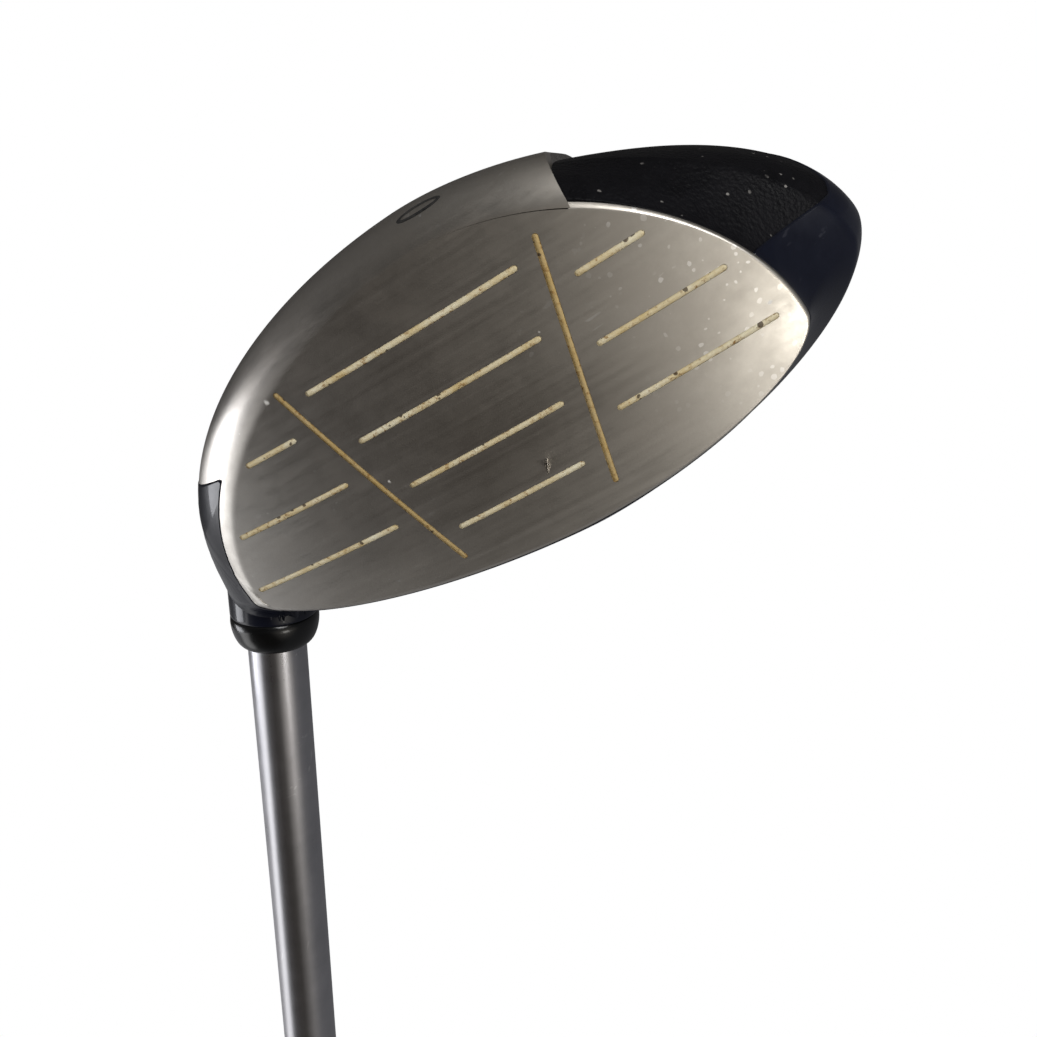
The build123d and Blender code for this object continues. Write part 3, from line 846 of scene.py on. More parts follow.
def make_line_paint():
    """Ivory paint gone yellow, with rusty dirt in patches and dark specks."""
    material, tree, shader = new_material("score line paint", roughness=0.6, specular_ior_level=0.3)
    place_ = face_coordinates(tree)
    wide = use(tree, SMUDGES, place_, 0, Size=0.007)
    fine = noise(tree, place_, 1600.0, 3.0, 0.7)
    specks = use(tree, SPECKS, place_, 0, Cell=0.0010, Share=0.50, Size=0.36)
    split = add_node(tree, "ShaderNodeSeparateXYZ", {0: place_})
    slant = math_node(
        tree, "MULTIPLY_ADD", split.outputs[1], SLANT_SLOPE, math_node(tree, "ABSOLUTE", split.outputs[0])
    )
    beside = math_node(tree, "ABSOLUTE", math_node(tree, "SUBTRACT", slant, SLANT_OFFSET * MM))
    golden = math_node(tree, "LESS_THAN", beside, 0.0009)
    base = mix_colour(tree, wide, (0.98, 0.92, 0.70), (0.76, 0.60, 0.30))
    base = mix_colour(tree, math_node(tree, "MULTIPLY", golden, 0.75), base, (0.50, 0.33, 0.10))
    base = mix_colour(tree, between(tree, fine, 0.54, 0.70), base, (0.36, 0.20, 0.06))
    base = mix_colour(tree, math_node(tree, "MULTIPLY", specks, 0.85), base, (0.07, 0.045, 0.03))
    tree.links.new(base, shader.inputs["Base Color"])
    rough = between(tree, fine, 0.3, 0.7, 0.45, 0.8)
    tree.links.new(rough, shader.inputs["Roughness"])
    bump(tree, shader, fine, 0.00008, 0.6)
    return material


def make_mark_paint():
    material, tree, shader = new_material("mark paint", roughness=0.5)
    place_ = face_coordinates(tree)
    worn = use(tree, SMUDGES, place_, 0, Size=0.003)
    base = mix_colour(tree, worn, (0.008, 0.008, 0.009), (0.05, 0.048, 0.045))
    tree.links.new(base, shader.inputs["Base Color"])
    tree.links.new(math_node(tree, "MULTIPLY_ADD", worn, 0.2, 0.4), shader.inputs["Roughness"])
    return material


def make_moulded(name, dark, light, rough=0.35, cell=0.0008, height=0.00004):
    """Moulded plastic, rubber or resin: two close tones and a fine pebbled skin."""
    material, tree, shader = new_material(name, roughness=rough)
    place_ = shaft_coordinates(tree)
    smudges = use(tree, SMUDGES, place_, 0, Size=0.02)
    pebbles = use(tree, PEBBLED, place_, 0, Cell=cell)
    scratches = use(tree, SCRATCHES, place_, 0, Share=0.25)
    base = mix_colour(tree, smudges, dark, light)
    base = mix_colour(
        tree, math_node(tree, "MULTIPLY", scratches, 0.2), base, tuple(min(v * 3 + 0.02, 1) for v in light)
    )
    tree.links.new(base, shader.inputs["Base Color"])
    tree.links.new(math_node(tree, "MULTIPLY_ADD", smudges, 0.18, rough - 0.06), shader.inputs["Roughness"])
    bump(tree, shader, pebbles, height, 0.6)
    return material


def make_tape():
    """Woven double-sided grip tape."""
    material, tree, shader = new_material("grip tape cloth", roughness=0.8)
    place_ = shaft_coordinates(tree)
    split = add_node(tree, "ShaderNodeSeparateXYZ", {0: place_})
    threads = [math_node(tree, "SINE", math_node(tree, "MULTIPLY", part, 5200.0)) for part in split.outputs]
    weave = math_node(tree, "MULTIPLY", math_node(tree, "ADD", threads[0], threads[1]), threads[2])
    base = mix_colour(tree, between(tree, weave, -1, 1), (0.62, 0.55, 0.40), (0.78, 0.72, 0.58))
    tree.links.new(base, shader.inputs["Base Color"])
    bump(tree, shader, weave, 0.00005, 0.5)
    return material


def make_metal(name, dark, light, rough, length=0.05, width=0.0004, along_shaft=True):
    """Plated or machined metal on the shaft axis, with a drawn grain and faint scratches."""
    material, tree, shader = new_material(name, metallic=1.0, roughness=rough)
    place_ = shaft_coordinates(tree)
    split = add_node(tree, "ShaderNodeSeparateXYZ", {0: place_})
    order = (split.outputs[2], split.outputs[0], split.outputs[1])
    swapped = add_node(tree, "ShaderNodeCombineXYZ", {0: order[0], 1: order[1], 2: order[2]}).outputs[0]
    lead = swapped if along_shaft else place_
    grain = use(tree, GRAIN, lead, 0, Length=length, Width=width)
    smudges = use(tree, SMUDGES, place_, 0, Size=0.03)
    scratches = use(tree, SCRATCHES, lead, 0, Share=0.3)
    base = mix_colour(tree, smudges, dark, light)
    base = mix_colour(tree, math_node(tree, "MULTIPLY", scratches, 0.35), base, (0.9, 0.9, 0.9))
    tree.links.new(base, shader.inputs["Base Color"])
    value = math_node(tree, "MULTIPLY_ADD", grain, 0.12, rough - 0.06)
    tree.links.new(math_node(tree, "MULTIPLY_ADD", smudges, 0.06, value), shader.inputs["Roughness"])
    bump(tree, shader, grain, 0.00001, 0.25)
    return material


def make_band_film():
    """A printed film band: dark with three plain silver rings."""
    material, tree, shader = new_material("shaft band film", roughness=0.3, coat_weight=0.6)
    place_ = shaft_coordinates(tree)
    split = add_node(tree, "ShaderNodeSeparateXYZ", {0: place_})
    station = math_node(tree, "MULTIPLY", split.outputs[2], 1000.0)
    wave = math_node(tree, "PINGPONG", math_node(tree, "SUBTRACT", station, BAND_START + 1), 6.0)
    ring = math_node(tree, "LESS_THAN", wave, 0.7)
    worn = use(tree, SMUDGES, place_, 0, Size=0.008)
    base = mix_colour(tree, worn, (0.012, 0.014, 0.03), (0.03, 0.032, 0.05))
    base = mix_colour(tree, ring, base, (0.55, 0.55, 0.57))
    tree.links.new(base, shader.inputs["Base Color"])
    tree.links.new(math_node(tree, "MULTIPLY_ADD", worn, 0.2, 0.22), shader.inputs["Roughness"])
    tree.links.new(math_node(tree, "MULTIPLY", ring, 0.8), shader.inputs["Metallic"])
    return material


FACE_STEEL = make_face_steel()
SOLE_STEEL = make_sole_steel()
CROWN_PAINT = make_crown_paint()
RELIEF_PAINT = make_relief_paint()
LINE_PAINT = make_line_paint()
MARK_PAINT = make_mark_paint()
SHAFT_STEEL = make_metal("shaft steel", (0.40, 0.40, 0.42), (0.50, 0.495, 0.52), 0.27)
WEIGHT_BRASS = make_metal("weight brass", (0.70, 0.50, 0.22), (0.80, 0.62, 0.30), 0.32, 0.004, 0.004, False)
PLASTIC = make_moulded("plug plastic", (0.010, 0.010, 0.011), (0.03, 0.03, 0.032), 0.42)
FERRULE_PLASTIC = make_moulded(
    "ferrule plastic", (0.0010, 0.0012, 0.0014), (0.0030, 0.0032, 0.0036), 0.17, 0.002, 0.00001
)
BOND_RESIN = make_moulded("bond resin", (0.30, 0.24, 0.10), (0.42, 0.34, 0.16), 0.3)
FOAM = make_moulded("core foam", (0.72, 0.66, 0.50), (0.82, 0.78, 0.64), 0.85, 0.0012, 0.0003)
GRIP_RUBBER = make_moulded(
    "grip rubber", (0.012, 0.012, 0.012), (0.026, 0.026, 0.025), 0.72, 0.0007, 0.00006
)
CAP_RUBBER = make_moulded("cap rubber", (0.010, 0.010, 0.010), (0.022, 0.022, 0.022), 0.62, 0.0007, 0.00004)
TAPE = make_tape()
BAND_FILM = make_band_film()

# ================================================================================================
# Head: steel face, keel, reliefs and painted shell
# ================================================================================================


def depth_rows(start=0.0, end=HEAD_DEPTH):
    """Depths that lie close together at the rolled edge and at the rear."""
    front = np.concatenate([np.linspace(0, 0.6, 9), np.linspace(0.7, 3, 16), np.linspace(3.3, 16, 34)[0:]])
    rear = WIDEST_DEPTH + (HEAD_DEPTH - WIDEST_DEPTH) * np.sin(np.linspace(0, pi / 2, REAR_ROWS)[1:])
    rows = np.concatenate([front, rear])
    rows = rows[(rows > start + 0.02) & (rows < end - 0.02)]
    return np.concatenate([[start], rows, [end]])


def patch(name, depths, left, right, columns, hollow, sink=0.0, thickness=WALL, blend=True):
    """A walled piece of the skin between two edges, each an angle for every depth."""
    shares = np.linspace(0, 1, columns)
    turns = left[:, None] + (right - left)[:, None] * shares[None]
    rows = depths if depths.ndim == 2 else np.repeat(depths[:, None], columns, axis=1)
    points = (blended_skin if blend else skin)(rows, turns, hollow)
    if sink:
        points = points - outward(rows, turns, hollow) * sink
    mesh = mesh_from(name, from_face(points).reshape(-1, 3), grid_faces(len(turns), columns), merge=2e-6)
    piece = link(name, mesh)
    return solidify(piece, thickness)


def cut(piece, cutter, operation="DIFFERENCE"):
    """Combine the piece with a cutter, which is used up."""
    knife = piece.modifiers.new("cut", "BOOLEAN")
    knife.operation = operation
    knife.solver = "EXACT"
    knife.object = cutter
    bake_modifiers(piece)
    bpy.data.objects.remove(cutter)
    return sharpen(piece)


def whole_head(proud):
    """The head's whole form as one closed body, standing proud of the skin."""
    turns = np.linspace(-pi, pi, 201)[:-1]
    rows = depth_rows(1.0)
    points = skin(rows[:, None], turns[None], True) + outward(rows[:, None], turns[None], True) * proud
    points = np.vstack([points.reshape(-1, 3), [[FORM_CENTRE, 5.0, 1.0]]])
    hub = len(points) - 1
    faces = grid_faces(len(rows), len(turns), wrap=True)
    faces.extend((number, hub, (number + 1) % len(turns)) for number in range(len(turns)))
    mesh = mesh_from("whole head", from_face(points), faces)
    face_outward(mesh)
    return link("whole head", mesh)


def face_edge_x(height, side):
    """Half-width of the face at this height: side is 1 for the toe, -1 for the heel."""
    above = height > FACE_WAIST
    reach_y = FACE_CROWN - FACE_WAIST if above else FACE_WAIST - FACE_SOLE
    if side > 0:
        power = FACE_FULLNESS[0] if above else FACE_FULLNESS[3]
        reach_x = FACE_TOE - FORM_CENTRE
    else:
        power = FACE_FULLNESS[1] if above else FACE_FULLNESS[2]
        reach_x = FACE_HEEL + FORM_CENTRE
    share = abs(height - FACE_WAIST) / reach_y
    return FORM_CENTRE + side * reach_x * (1 - share**power) ** (1 / power)


def slant_x(height):
    return SLANT_OFFSET - SLANT_SLOPE * height


def line_ends():
    """Both ends of each of the twelve score lines, as (x, y) on the face."""
    ends = []
    for row in range(4):
        height = FIRST_LINE + row * LINE_PITCH
        reach = slant_x(height) - SLANT_CLEAR
        ends.append(((-reach, height), (reach, height)))
    for row in range(3):
        height = FIRST_LINE + (row + 0.5) * LINE_PITCH
        start = slant_x(height) + SLANT_CLEAR
        ends.append(((start, height), (face_edge_x(height, 1) - TOE_LINE_MARGIN, height)))
        ends.append(((-start, height), (face_edge_x(height, -1) + HEEL_LINE_MARGIN, height)))
    for side in (1, -1):
        ends.append(((side * slant_x(SLANT_FOOT), SLANT_FOOT), (side * slant_x(SLANT_TOP), SLANT_TOP)))
    return ends


def make_line_tree(material):
    """Sweep a flat, round-ended bar along every path of the mesh it is given."""
    tree = bpy.data.node_groups.new("score lines", "GeometryNodeTree")
    tree.interface.new_socket("Geometry", in_out="INPUT", socket_type="NodeSocketGeometry")
    sockets = {}
    for label, value in (("Width", LINE_WIDTH * MM), ("Top", 0.0), ("Bottom", LINE_DEPTH * MM)):
        socket = tree.interface.new_socket(label, in_out="INPUT", socket_type="NodeSocketFloat")
        socket.default_value = value
        sockets[label] = socket.identifier
    tree.interface.new_socket("Geometry", in_out="OUTPUT", socket_type="NodeSocketGeometry")
    given = tree.nodes.new("NodeGroupInput")
    out = tree.nodes.new("NodeGroupOutput")
    path = add_node(tree, "GeometryNodeMeshToCurve", {0: given.outputs["Geometry"]})
    upright = add_node(tree, "GeometryNodeSetCurveNormal", {0: path.outputs[0]})
    upright.mode = "Z_UP"
    # The bar narrows to a half circle at each end.
    spline = add_node(tree, "GeometryNodeSplineParameter")
    length = add_node(tree, "GeometryNodeSplineLength")
    half = math_node(tree, "MULTIPLY", given.outputs["Width"], 0.5)
    rest = math_node(tree, "SUBTRACT", length.outputs[0], spline.outputs["Length"])
    nearest = math_node(tree, "MINIMUM", rest, spline.outputs["Length"])
    into = math_node(tree, "SUBTRACT", 1.0, math_node(tree, "DIVIDE", nearest, half, clamp=True))
    round_end = math_node(
        tree, "SQRT", math_node(tree, "SUBTRACT", 1.0, math_node(tree, "MULTIPLY", into, into))
    )
    kept = math_node(tree, "MAXIMUM", round_end, 0.08)
    height = math_node(tree, "SUBTRACT", given.outputs["Bottom"], given.outputs["Top"])
    bar = add_node(
        tree, "GeometryNodeCurvePrimitiveQuadrilateral", {"Width": given.outputs["Width"], "Height": height}
    )
    middle = math_node(
        tree, "MULTIPLY", math_node(tree, "ADD", given.outputs["Bottom"], given.outputs["Top"]), 0.5
    )
    sink = add_node(tree, "ShaderNodeCombineXYZ", {2: middle})
    lowered = add_node(
        tree, "GeometryNodeSetPosition", {"Geometry": upright.outputs[0], "Offset": sink.outputs[0]}
    )
    # The ends are narrowed after the sweep, because a sweep scales the bar in both directions.
    marked = add_node(
        tree, "GeometryNodeStoreNamedAttribute",
        {"Geometry": lowered.outputs[0], "Name": "keep", "Value": kept},
        data_type="FLOAT", domain="POINT",
    )
    centre = add_node(tree, "GeometryNodeInputPosition")
    stored = add_node(
        tree, "GeometryNodeStoreNamedAttribute",
        {"Geometry": marked.outputs[0], "Name": "middle", "Value": centre.outputs[0]},
        data_type="FLOAT_VECTOR", domain="POINT",
    )
    sweep = add_node(
        tree, "GeometryNodeCurveToMesh",
        {"Curve": stored.outputs[0], "Profile Curve": bar.outputs[0], "Fill Caps": True}
    )
    keep = add_node(tree, "GeometryNodeInputNamedAttribute", {"Name": "keep"}, data_type="FLOAT")
    core = add_node(tree, "GeometryNodeInputNamedAttribute", {"Name": "middle"}, data_type="FLOAT_VECTOR")
    here = add_node(tree, "GeometryNodeInputPosition")
    aside = add_node(
        tree, "ShaderNodeVectorMath", {0: here.outputs[0], 1: core.outputs[0]}, operation="SUBTRACT"
    )
    flat = add_node(tree, "ShaderNodeVectorMath", {0: aside.outputs[0], 1: (1, 1, 0)}, operation="MULTIPLY")
    less = math_node(tree, "SUBTRACT", keep.outputs[0], 1.0)
    shift = add_node(tree, "ShaderNodeVectorMath", {0: flat.outputs[0], "Scale": less}, operation="SCALE")
    ended = add_node(
        tree, "GeometryNodeSetPosition", {"Geometry": sweep.outputs[0], "Offset": shift.outputs[0]}
    )
    real = add_node(tree, "GeometryNodeRealizeInstances", {0: ended.outputs[0]})
    painted = add_node(tree, "GeometryNodeSetMaterial", {0: real.outputs[0], "Material": material})
    tree.links.new(painted.outputs[0], out.inputs[0])
    return tree, sockets


def run_tree(piece, tree, values):
    """Give the piece a Geometry Nodes modifier, set its inputs and turn the result into its mesh."""
    modifier = piece.modifiers.new("nodes", "NODES")
    modifier.node_group = tree
    for identifier, value in values.items():
        modifier[identifier] = value
    return bake_modifiers(piece)


def line_paths(name):
    """One path along the face for each score line."""
    points = []
    edges = []
    ease = 0.5 - 0.5 * np.cos(np.linspace(0, pi / 2, 6))
    for start, end in line_ends():
        run = np.array(end) - np.array(start)
        length = np.linalg.norm(run)
        cap = ease / ease[-1] * LINE_WIDTH / 2
        body = np.linspace(cap[-1], length - cap[-1], max(int(length / 1.5), 6))
        stops = np.concatenate([cap[:-1], body, (length - cap[::-1])[1:]])
        first = len(points)
        for stop in stops:
            x, y = np.array(start) + run * stop / length
            points.append((x * MM, y * MM, face_depth(x, y) * MM))
        edges.extend((first + number, first + number + 1) for number in range(len(stops) - 1))
    mesh = bpy.data.meshes.new(name)
    mesh.from_pydata(points, edges, [])
    return link(name, mesh)


FACE_MATRIX = Matrix((
    (FACE_X[0], FACE_Y[0], FACE_Z[0], FACE_CENTRE[0] * MM),
    (FACE_X[1], FACE_Y[1], FACE_Z[1], FACE_CENTRE[1] * MM),
    (FACE_X[2], FACE_Y[2], FACE_Z[2], FACE_CENTRE[2] * MM),
    (0, 0, 0, 1),
))


def make_score_lines(name, top, bottom, width):
    tree, sockets = LINE_TREE
    piece = line_paths(name)
    run_tree(
        piece, tree,
        {sockets["Width"]: width * MM, sockets["Top"]: top * MM, sockets["Bottom"]: bottom * MM},
    )
    piece.data.transform(FACE_MATRIX)
    face_outward(piece.data, 1e-7)
    return piece


def seam_turns(depths):
    """The four sole-side edges at each depth, from the heel round to the toe."""
    heel = heel_seam_turn(depths)
    strip = np.maximum(turn_at_x(SOLE_HEEL, depths, False), heel)
    keel_left = np.maximum(turn_at_x(KEEL_HEEL, depths, False), strip)
    toe = toe_seam_turn(depths)
    keel_right = np.minimum(turn_at_x(KEEL_TOE, depths, False), toe)
    return heel, strip, keel_left, keel_right, toe


def edge_turn(find, guess=1.0):
    """The angle at which a seam meets the bare rim of the face."""
    turn = float(find(np.array([guess]))[0])
    for _ in range(6):
        turn = float(find(np.array([rim_depth(turn)]))[0])
    return turn


def make_face():
    """The face, its rolled leading edge and the bare rim round it, as one walled piece."""
    step = float(turn_at_x(KEEL_TOE, 0.0, False))
    heel = edge_turn(heel_seam_turn)
    below = np.linspace(heel, step, 150)
    above = np.linspace(step, heel + tau, 330)
    turns = np.concatenate([below, above[1:-1]])
    count = len(turns)
    shares = np.concatenate([np.linspace(0, 0.9, 46), np.linspace(0.91, 1, 14)])
    edge = skin(0.0, turns, True)
    centre = np.array([FORM_CENTRE, FACE_WAIST, 0.0])
    points = [[FORM_CENTRE, FACE_WAIST, float(face_depth(FORM_CENTRE, FACE_WAIST))]]
    for share in shares[1:]:
        ring = centre + (edge - centre) * share
        ring[:, 2] = face_depth(ring[:, 0], ring[:, 1])
        points.extend(ring)
    faces = [(0, 1 + number, 1 + (number + 1) % count) for number in range(count)]
    faces.extend(grid_faces(len(shares) - 1, count, wrap=True, start=1))
    # Bare rim on the heel, crown and toe: shallow, over the hollow toe.
    first = len(points)
    rim_rows = np.linspace(0, 1, 12) ** 1.4
    for share in rim_rows:
        points.extend(blended_skin(rim_depth(above) * share, above, True))
    faces.extend(grid_faces(len(rim_rows), len(above), start=first))
    # The rolled leading edge, back to the sole plate.
    first = len(points)
    band_rows = np.concatenate(
        [np.linspace(0, 1, 34) ** 2 * EDGE_ROLL, np.linspace(EDGE_ROLL, PLATE_FRONT, 8)[1:]]
    )
    for depth in band_rows:
        left = float(heel_seam_turn(np.array([max(depth, HEEL_RIM)]))[0])
        left = heel + (left - heel) * float(np.clip(depth / HEEL_RIM, 0, 1))
        right = float(turn_at_x(KEEL_TOE, depth, False))
        row = left + (right - left) * (below - heel) / (step - heel)
        points.extend(blended_skin(depth, row, False))
    faces.extend(grid_faces(len(band_rows), len(below), start=first))
    piece = link("face_and_leading_edge", mesh_from("face", from_face(points), faces, merge=2e-6))
    return solidify(piece, FACE_WALL)


LINE_TREE = make_line_tree(LINE_PAINT)

face = make_face()
grooves = make_score_lines("grooves", -0.4, LINE_DEPTH, LINE_WIDTH)
cut(face, grooves)
place(face, "head_steel", FACE_STEEL, "head_casting")

score_lines = make_score_lines("score_line_paint", PAINT_SINK, LINE_DEPTH - 0.01, LINE_WIDTH - 0.02)
place(score_lines, "line_paint", LINE_PAINT, "face_lines")

plate_rows = depth_rows(PLATE_FRONT)
heel_turn, strip_turn, keel_left, keel_right = seam_turns(plate_rows)[:4]

keel = patch("keel", plate_rows, keel_left, keel_right, 70, False, thickness=FACE_WALL)
place(keel, "head_steel", SOLE_STEEL, "sole_plate")

heel_strip = patch("heel_strip", plate_rows, heel_turn, strip_turn, 40, False, thickness=FACE_WALL)
heel_rows = depth_rows(PLATE_FRONT - 1)
heel_edges = seam_turns(heel_rows)
heel_relief = patch(
    "heel_relief", heel_rows, heel_edges[1] - 0.03, heel_edges[2] + 0.03, 40, False, sink=RELIEF_DEPTH
)


def toe_relief_edges(depths):
    start = np.minimum(turn_at_x(KEEL_TOE - RELIEF_LAP, depths, True), toe_seam_turn(depths))
    return start, toe_seam_turn(depths) + 0.012


relief_rows = depth_rows(TOE_RIM)
start_turn, end_turn = toe_relief_edges(relief_rows)
toe_relief = patch("toe_relief", relief_rows, start_turn, end_turn, 70, True, sink=0.06)


def make_mark():
    """The plain long ring of dark paint sunk in the leading edge."""
    count = 96
    points = []
    corners = ((1.0, MARK_PROUD), (1.0, -MARK_SINK), (MARK_INNER, -MARK_SINK), (MARK_INNER, MARK_PROUD))
    for side, lift in corners:
        for angle in np.arange(count) / count * tau:
            x = MARK_X + MARK_LENGTH / 2 * side * cos(angle)
            depth = MARK_DEPTH + MARK_SLOPE * (x - MARK_X) + MARK_WIDTH / 2 * side**3 * sin(angle)
            turn = float(turn_at_x(x, depth, False))
            points.append(skin(depth, turn, False) + outward(depth, turn, False) * lift)
    points.extend(points[:count])
    mesh = mesh_from("mark", from_face(np.array(points)), grid_faces(5, count, wrap=True), merge=1e-7)
    face_outward(mesh)
    return link("sole_mark", mesh)


place(make_mark(), "mark_paint", MARK_PAINT, "sole_mark_paint")

paint_front = edge_turn(toe_seam_turn)
paint_back = edge_turn(heel_seam_turn) + tau


def make_crown():
    """The painted shell: toe, crown and heel in one skin, from the rim of the face to the rear."""
    columns = 300
    shares = np.linspace(0, 1, columns)
    rows = depth_rows()
    front_rim = rim_depth(paint_front + (paint_back - paint_front) * shares)
    depths = []
    turns = []
    for row in rows:
        settle = np.clip(row / WIDEST_DEPTH, 0, 1)
        depth = front_rim * (1 - settle) + row + 0 * shares
        depth = np.minimum(depth, rows[-1])
        left = toe_seam_turn(depth)
        right = heel_seam_turn(np.maximum(depth, HEEL_RIM)) + tau
        depths.append(depth)
        turns.append(left + (right - left) * shares)
    depths = np.array(depths)
    turns = np.array(turns)
    points = blended_skin(depths, turns, True)
    points = points + outward(depths, turns, True) * PAINT_PROUD
    # The shell is open where the hosel passes through it.
    offset = skin(depths, turns, True).reshape(-1, 3) - HOSEL_FOOT
    station = offset @ HOSEL_DIRECTION
    radial = np.linalg.norm(offset - station[:, None] * HOSEL_DIRECTION, axis=1)
    inside_post = (radial < HOSEL_OPENING) & (station > HOSEL_GROWS_FROM - 4)
    faces = [face for face in grid_faces(len(rows), columns) if not inside_post[list(face)].any()]
    mesh = mesh_from("crown", from_face(points).reshape(-1, 3), faces, merge=2e-6)
    return solidify(link("painted_crown", mesh), WALL)


crown = make_crown()

place(heel_strip, "head_steel", SOLE_STEEL, "head_casting")
place(heel_relief, "relief_paint", RELIEF_PAINT, "sole_plate")
place(toe_relief, "relief_paint", RELIEF_PAINT, "sole_plate")
place(crown, "crown_paint", CROWN_PAINT, "crown_shell")

# ================================================================================================
# Hosel and the pieces on the shaft's axis
# ================================================================================================
bore_radius = TIP_RADIUS + BOND_GAP

# The tube and its plug are ground flush with the sole.
hosel_foot = turned(
    "hosel_foot",
    [(bore_radius, HOSEL_SPLIT), (bore_radius, 0.0), (HOSEL_RADIUS, 0.0), (HOSEL_RADIUS, HOSEL_SPLIT)],
)
cut(hosel_foot, whole_head(0.15), "INTERSECT")
place(hosel_foot, "head_steel", SOLE_STEEL, "head_casting")

hosel_neck = turned(
    "hosel_neck",
    [(bore_radius, HOSEL_SPLIT), (HOSEL_RADIUS, HOSEL_SPLIT)]
    + [(HOSEL_RADIUS, station) for station in np.linspace(28, HOSEL_TOP - 0.6, 8)]
    + round_corner((HOSEL_RADIUS - 0.35, HOSEL_TOP - 0.35), 0.35, 0, 90)
    + [(bore_radius, HOSEL_TOP)],
    128,
)
place(hosel_neck, "crown_paint", CROWN_PAINT, "head_casting")

plug_end = HOSEL_BOTTOM + PLUG_LENGTH
tip_plug = turned(
    "tip_plug",
    [(0.0, 0.0), (bore_radius - 0.06, 0.0), (bore_radius - 0.06, plug_end), (0.0, plug_end)],
    64,
    closed=False,
)
cut(tip_plug, whole_head(0.04), "INTERSECT")
place(tip_plug, "black_plastic", PLASTIC, "tip_plug")

ferrule_top = HOSEL_TOP + FERRULE_LENGTH
bead_start = HOSEL_TOP + 0.9
bead_end = HOSEL_TOP + FERRULE_BEAD
ferrule_lip = TIP_RADIUS + 0.35
bead_turns = np.linspace(0, pi / 2, 22)
bead = [
    (
        ferrule_lip + (FERRULE_RADIUS - ferrule_lip) * cos(turn),
        bead_start + (bead_end - bead_start) * sin(turn) ** BEAD_POWER,
    )
    for turn in bead_turns
]
ferrule = turned(
    "ferrule",
    [(TIP_RADIUS, HOSEL_TOP), (FERRULE_RADIUS - 0.25, HOSEL_TOP), (FERRULE_RADIUS - 0.06, HOSEL_TOP + 0.25)]
    + bead
    + [(TIP_RADIUS + 0.15, bead_end), (TIP_RADIUS, bead_end - 0.1)],
    160,
)
place(ferrule, "ferrule_plastic", FERRULE_PLASTIC, "ferrule")

shaft_start = plug_end + WEIGHT_HEAD
shaft_end = CLUB_LENGTH - CAP_TOP
step_rise = (BUTT_RADIUS - TIP_RADIUS) / STEP_COUNT
outside = [(TIP_RADIUS, shaft_start), (TIP_RADIUS, ferrule_top + 10)]
outside += [(TIP_RADIUS, station) for station in np.linspace(60, FIRST_STEP - 1, 12)]
for number in range(STEP_COUNT):
    station = FIRST_STEP + number * STEP_PITCH
    radius = TIP_RADIUS + number * step_rise
    outside += [(radius, station), (radius + step_rise * 0.15, station + 0.1)]
    outside += [
        (radius + step_rise * 0.85, station + STEP_SLOPE - 0.1), (radius + step_rise, station + STEP_SLOPE)
    ]
outside += [(BUTT_RADIUS, station) for station in np.linspace(740, shaft_end, 12)]
inside = [(radius - SHAFT_WALL, station) for radius, station in reversed(outside)]
shaft = turned("shaft", outside + inside, 128)
place(shaft, "shaft_steel", SHAFT_STEEL, "shaft")

band_end = BAND_START + BAND_LENGTH
shaft_band = turned(
    "shaft_band",
    [(BUTT_RADIUS, BAND_START), (BUTT_RADIUS + BAND_THICKNESS, BAND_START + 0.15)]
    + [(BUTT_RADIUS + BAND_THICKNESS, station) for station in np.linspace(BAND_START + 1, band_end - 1, 8)]
    + [(BUTT_RADIUS + BAND_THICKNESS, band_end - 0.15), (BUTT_RADIUS, band_end)],
    128,
)
place(shaft_band, "band_film", BAND_FILM, "shaft_band")

grip_mouth = CLUB_LENGTH - GRIP_LENGTH
cap_start = CLUB_LENGTH - CAP_LENGTH
tape_radius = BUTT_RADIUS + TAPE_THICKNESS


def grip_radius(station):
    share = np.clip((station - grip_mouth - TAPE_MARGIN) / (cap_start - grip_mouth - TAPE_MARGIN), 0, 1)
    return GRIP_MOUTH_RADIUS + (GRIP_BUTT_RADIUS - GRIP_MOUTH_RADIUS) * share


grip_sleeve = turned(
    "grip_sleeve",
    [(BUTT_RADIUS, grip_mouth), (GRIP_MOUTH_RADIUS - 0.5, grip_mouth)]
    + round_corner((GRIP_MOUTH_RADIUS - 0.5, grip_mouth + 0.5), 0.5, -90, 0)
    + [
        (float(grip_radius(station)), station)
        for station in np.linspace(grip_mouth + TAPE_MARGIN, cap_start, 30)
    ]
    + [
        (tape_radius, cap_start),
        (tape_radius, grip_mouth + TAPE_MARGIN),
        (BUTT_RADIUS, grip_mouth + TAPE_MARGIN),
    ],
    128,
)
place(grip_sleeve, "grip_rubber", GRIP_RUBBER, "grip_sleeve")

cap_end = CLUB_LENGTH
grip_cap = turned(
    "grip_cap",
    [(tape_radius, cap_start), (CAP_RADIUS - 0.6, cap_start)]
    + round_corner((CAP_RADIUS - 0.6, cap_start + 0.6), 0.6, -90, 0)
    + round_corner((CAP_RADIUS - 3.0, cap_end - 3.0), 3.0, 0, 90, 12)
    + [
        (6.5, cap_end), (6.2, cap_end - 0.35), (5.4, cap_end - 0.35), (5.1, cap_end),
        (VENT_RADIUS + 0.4, cap_end),
    ]
    + round_corner((VENT_RADIUS + 0.4, cap_end - 0.4), 0.4, 90, 180)
    + [(VENT_RADIUS, shaft_end), (tape_radius, shaft_end)],
    128,
)
place(grip_cap, "cap_rubber", CAP_RUBBER, "grip_cap")


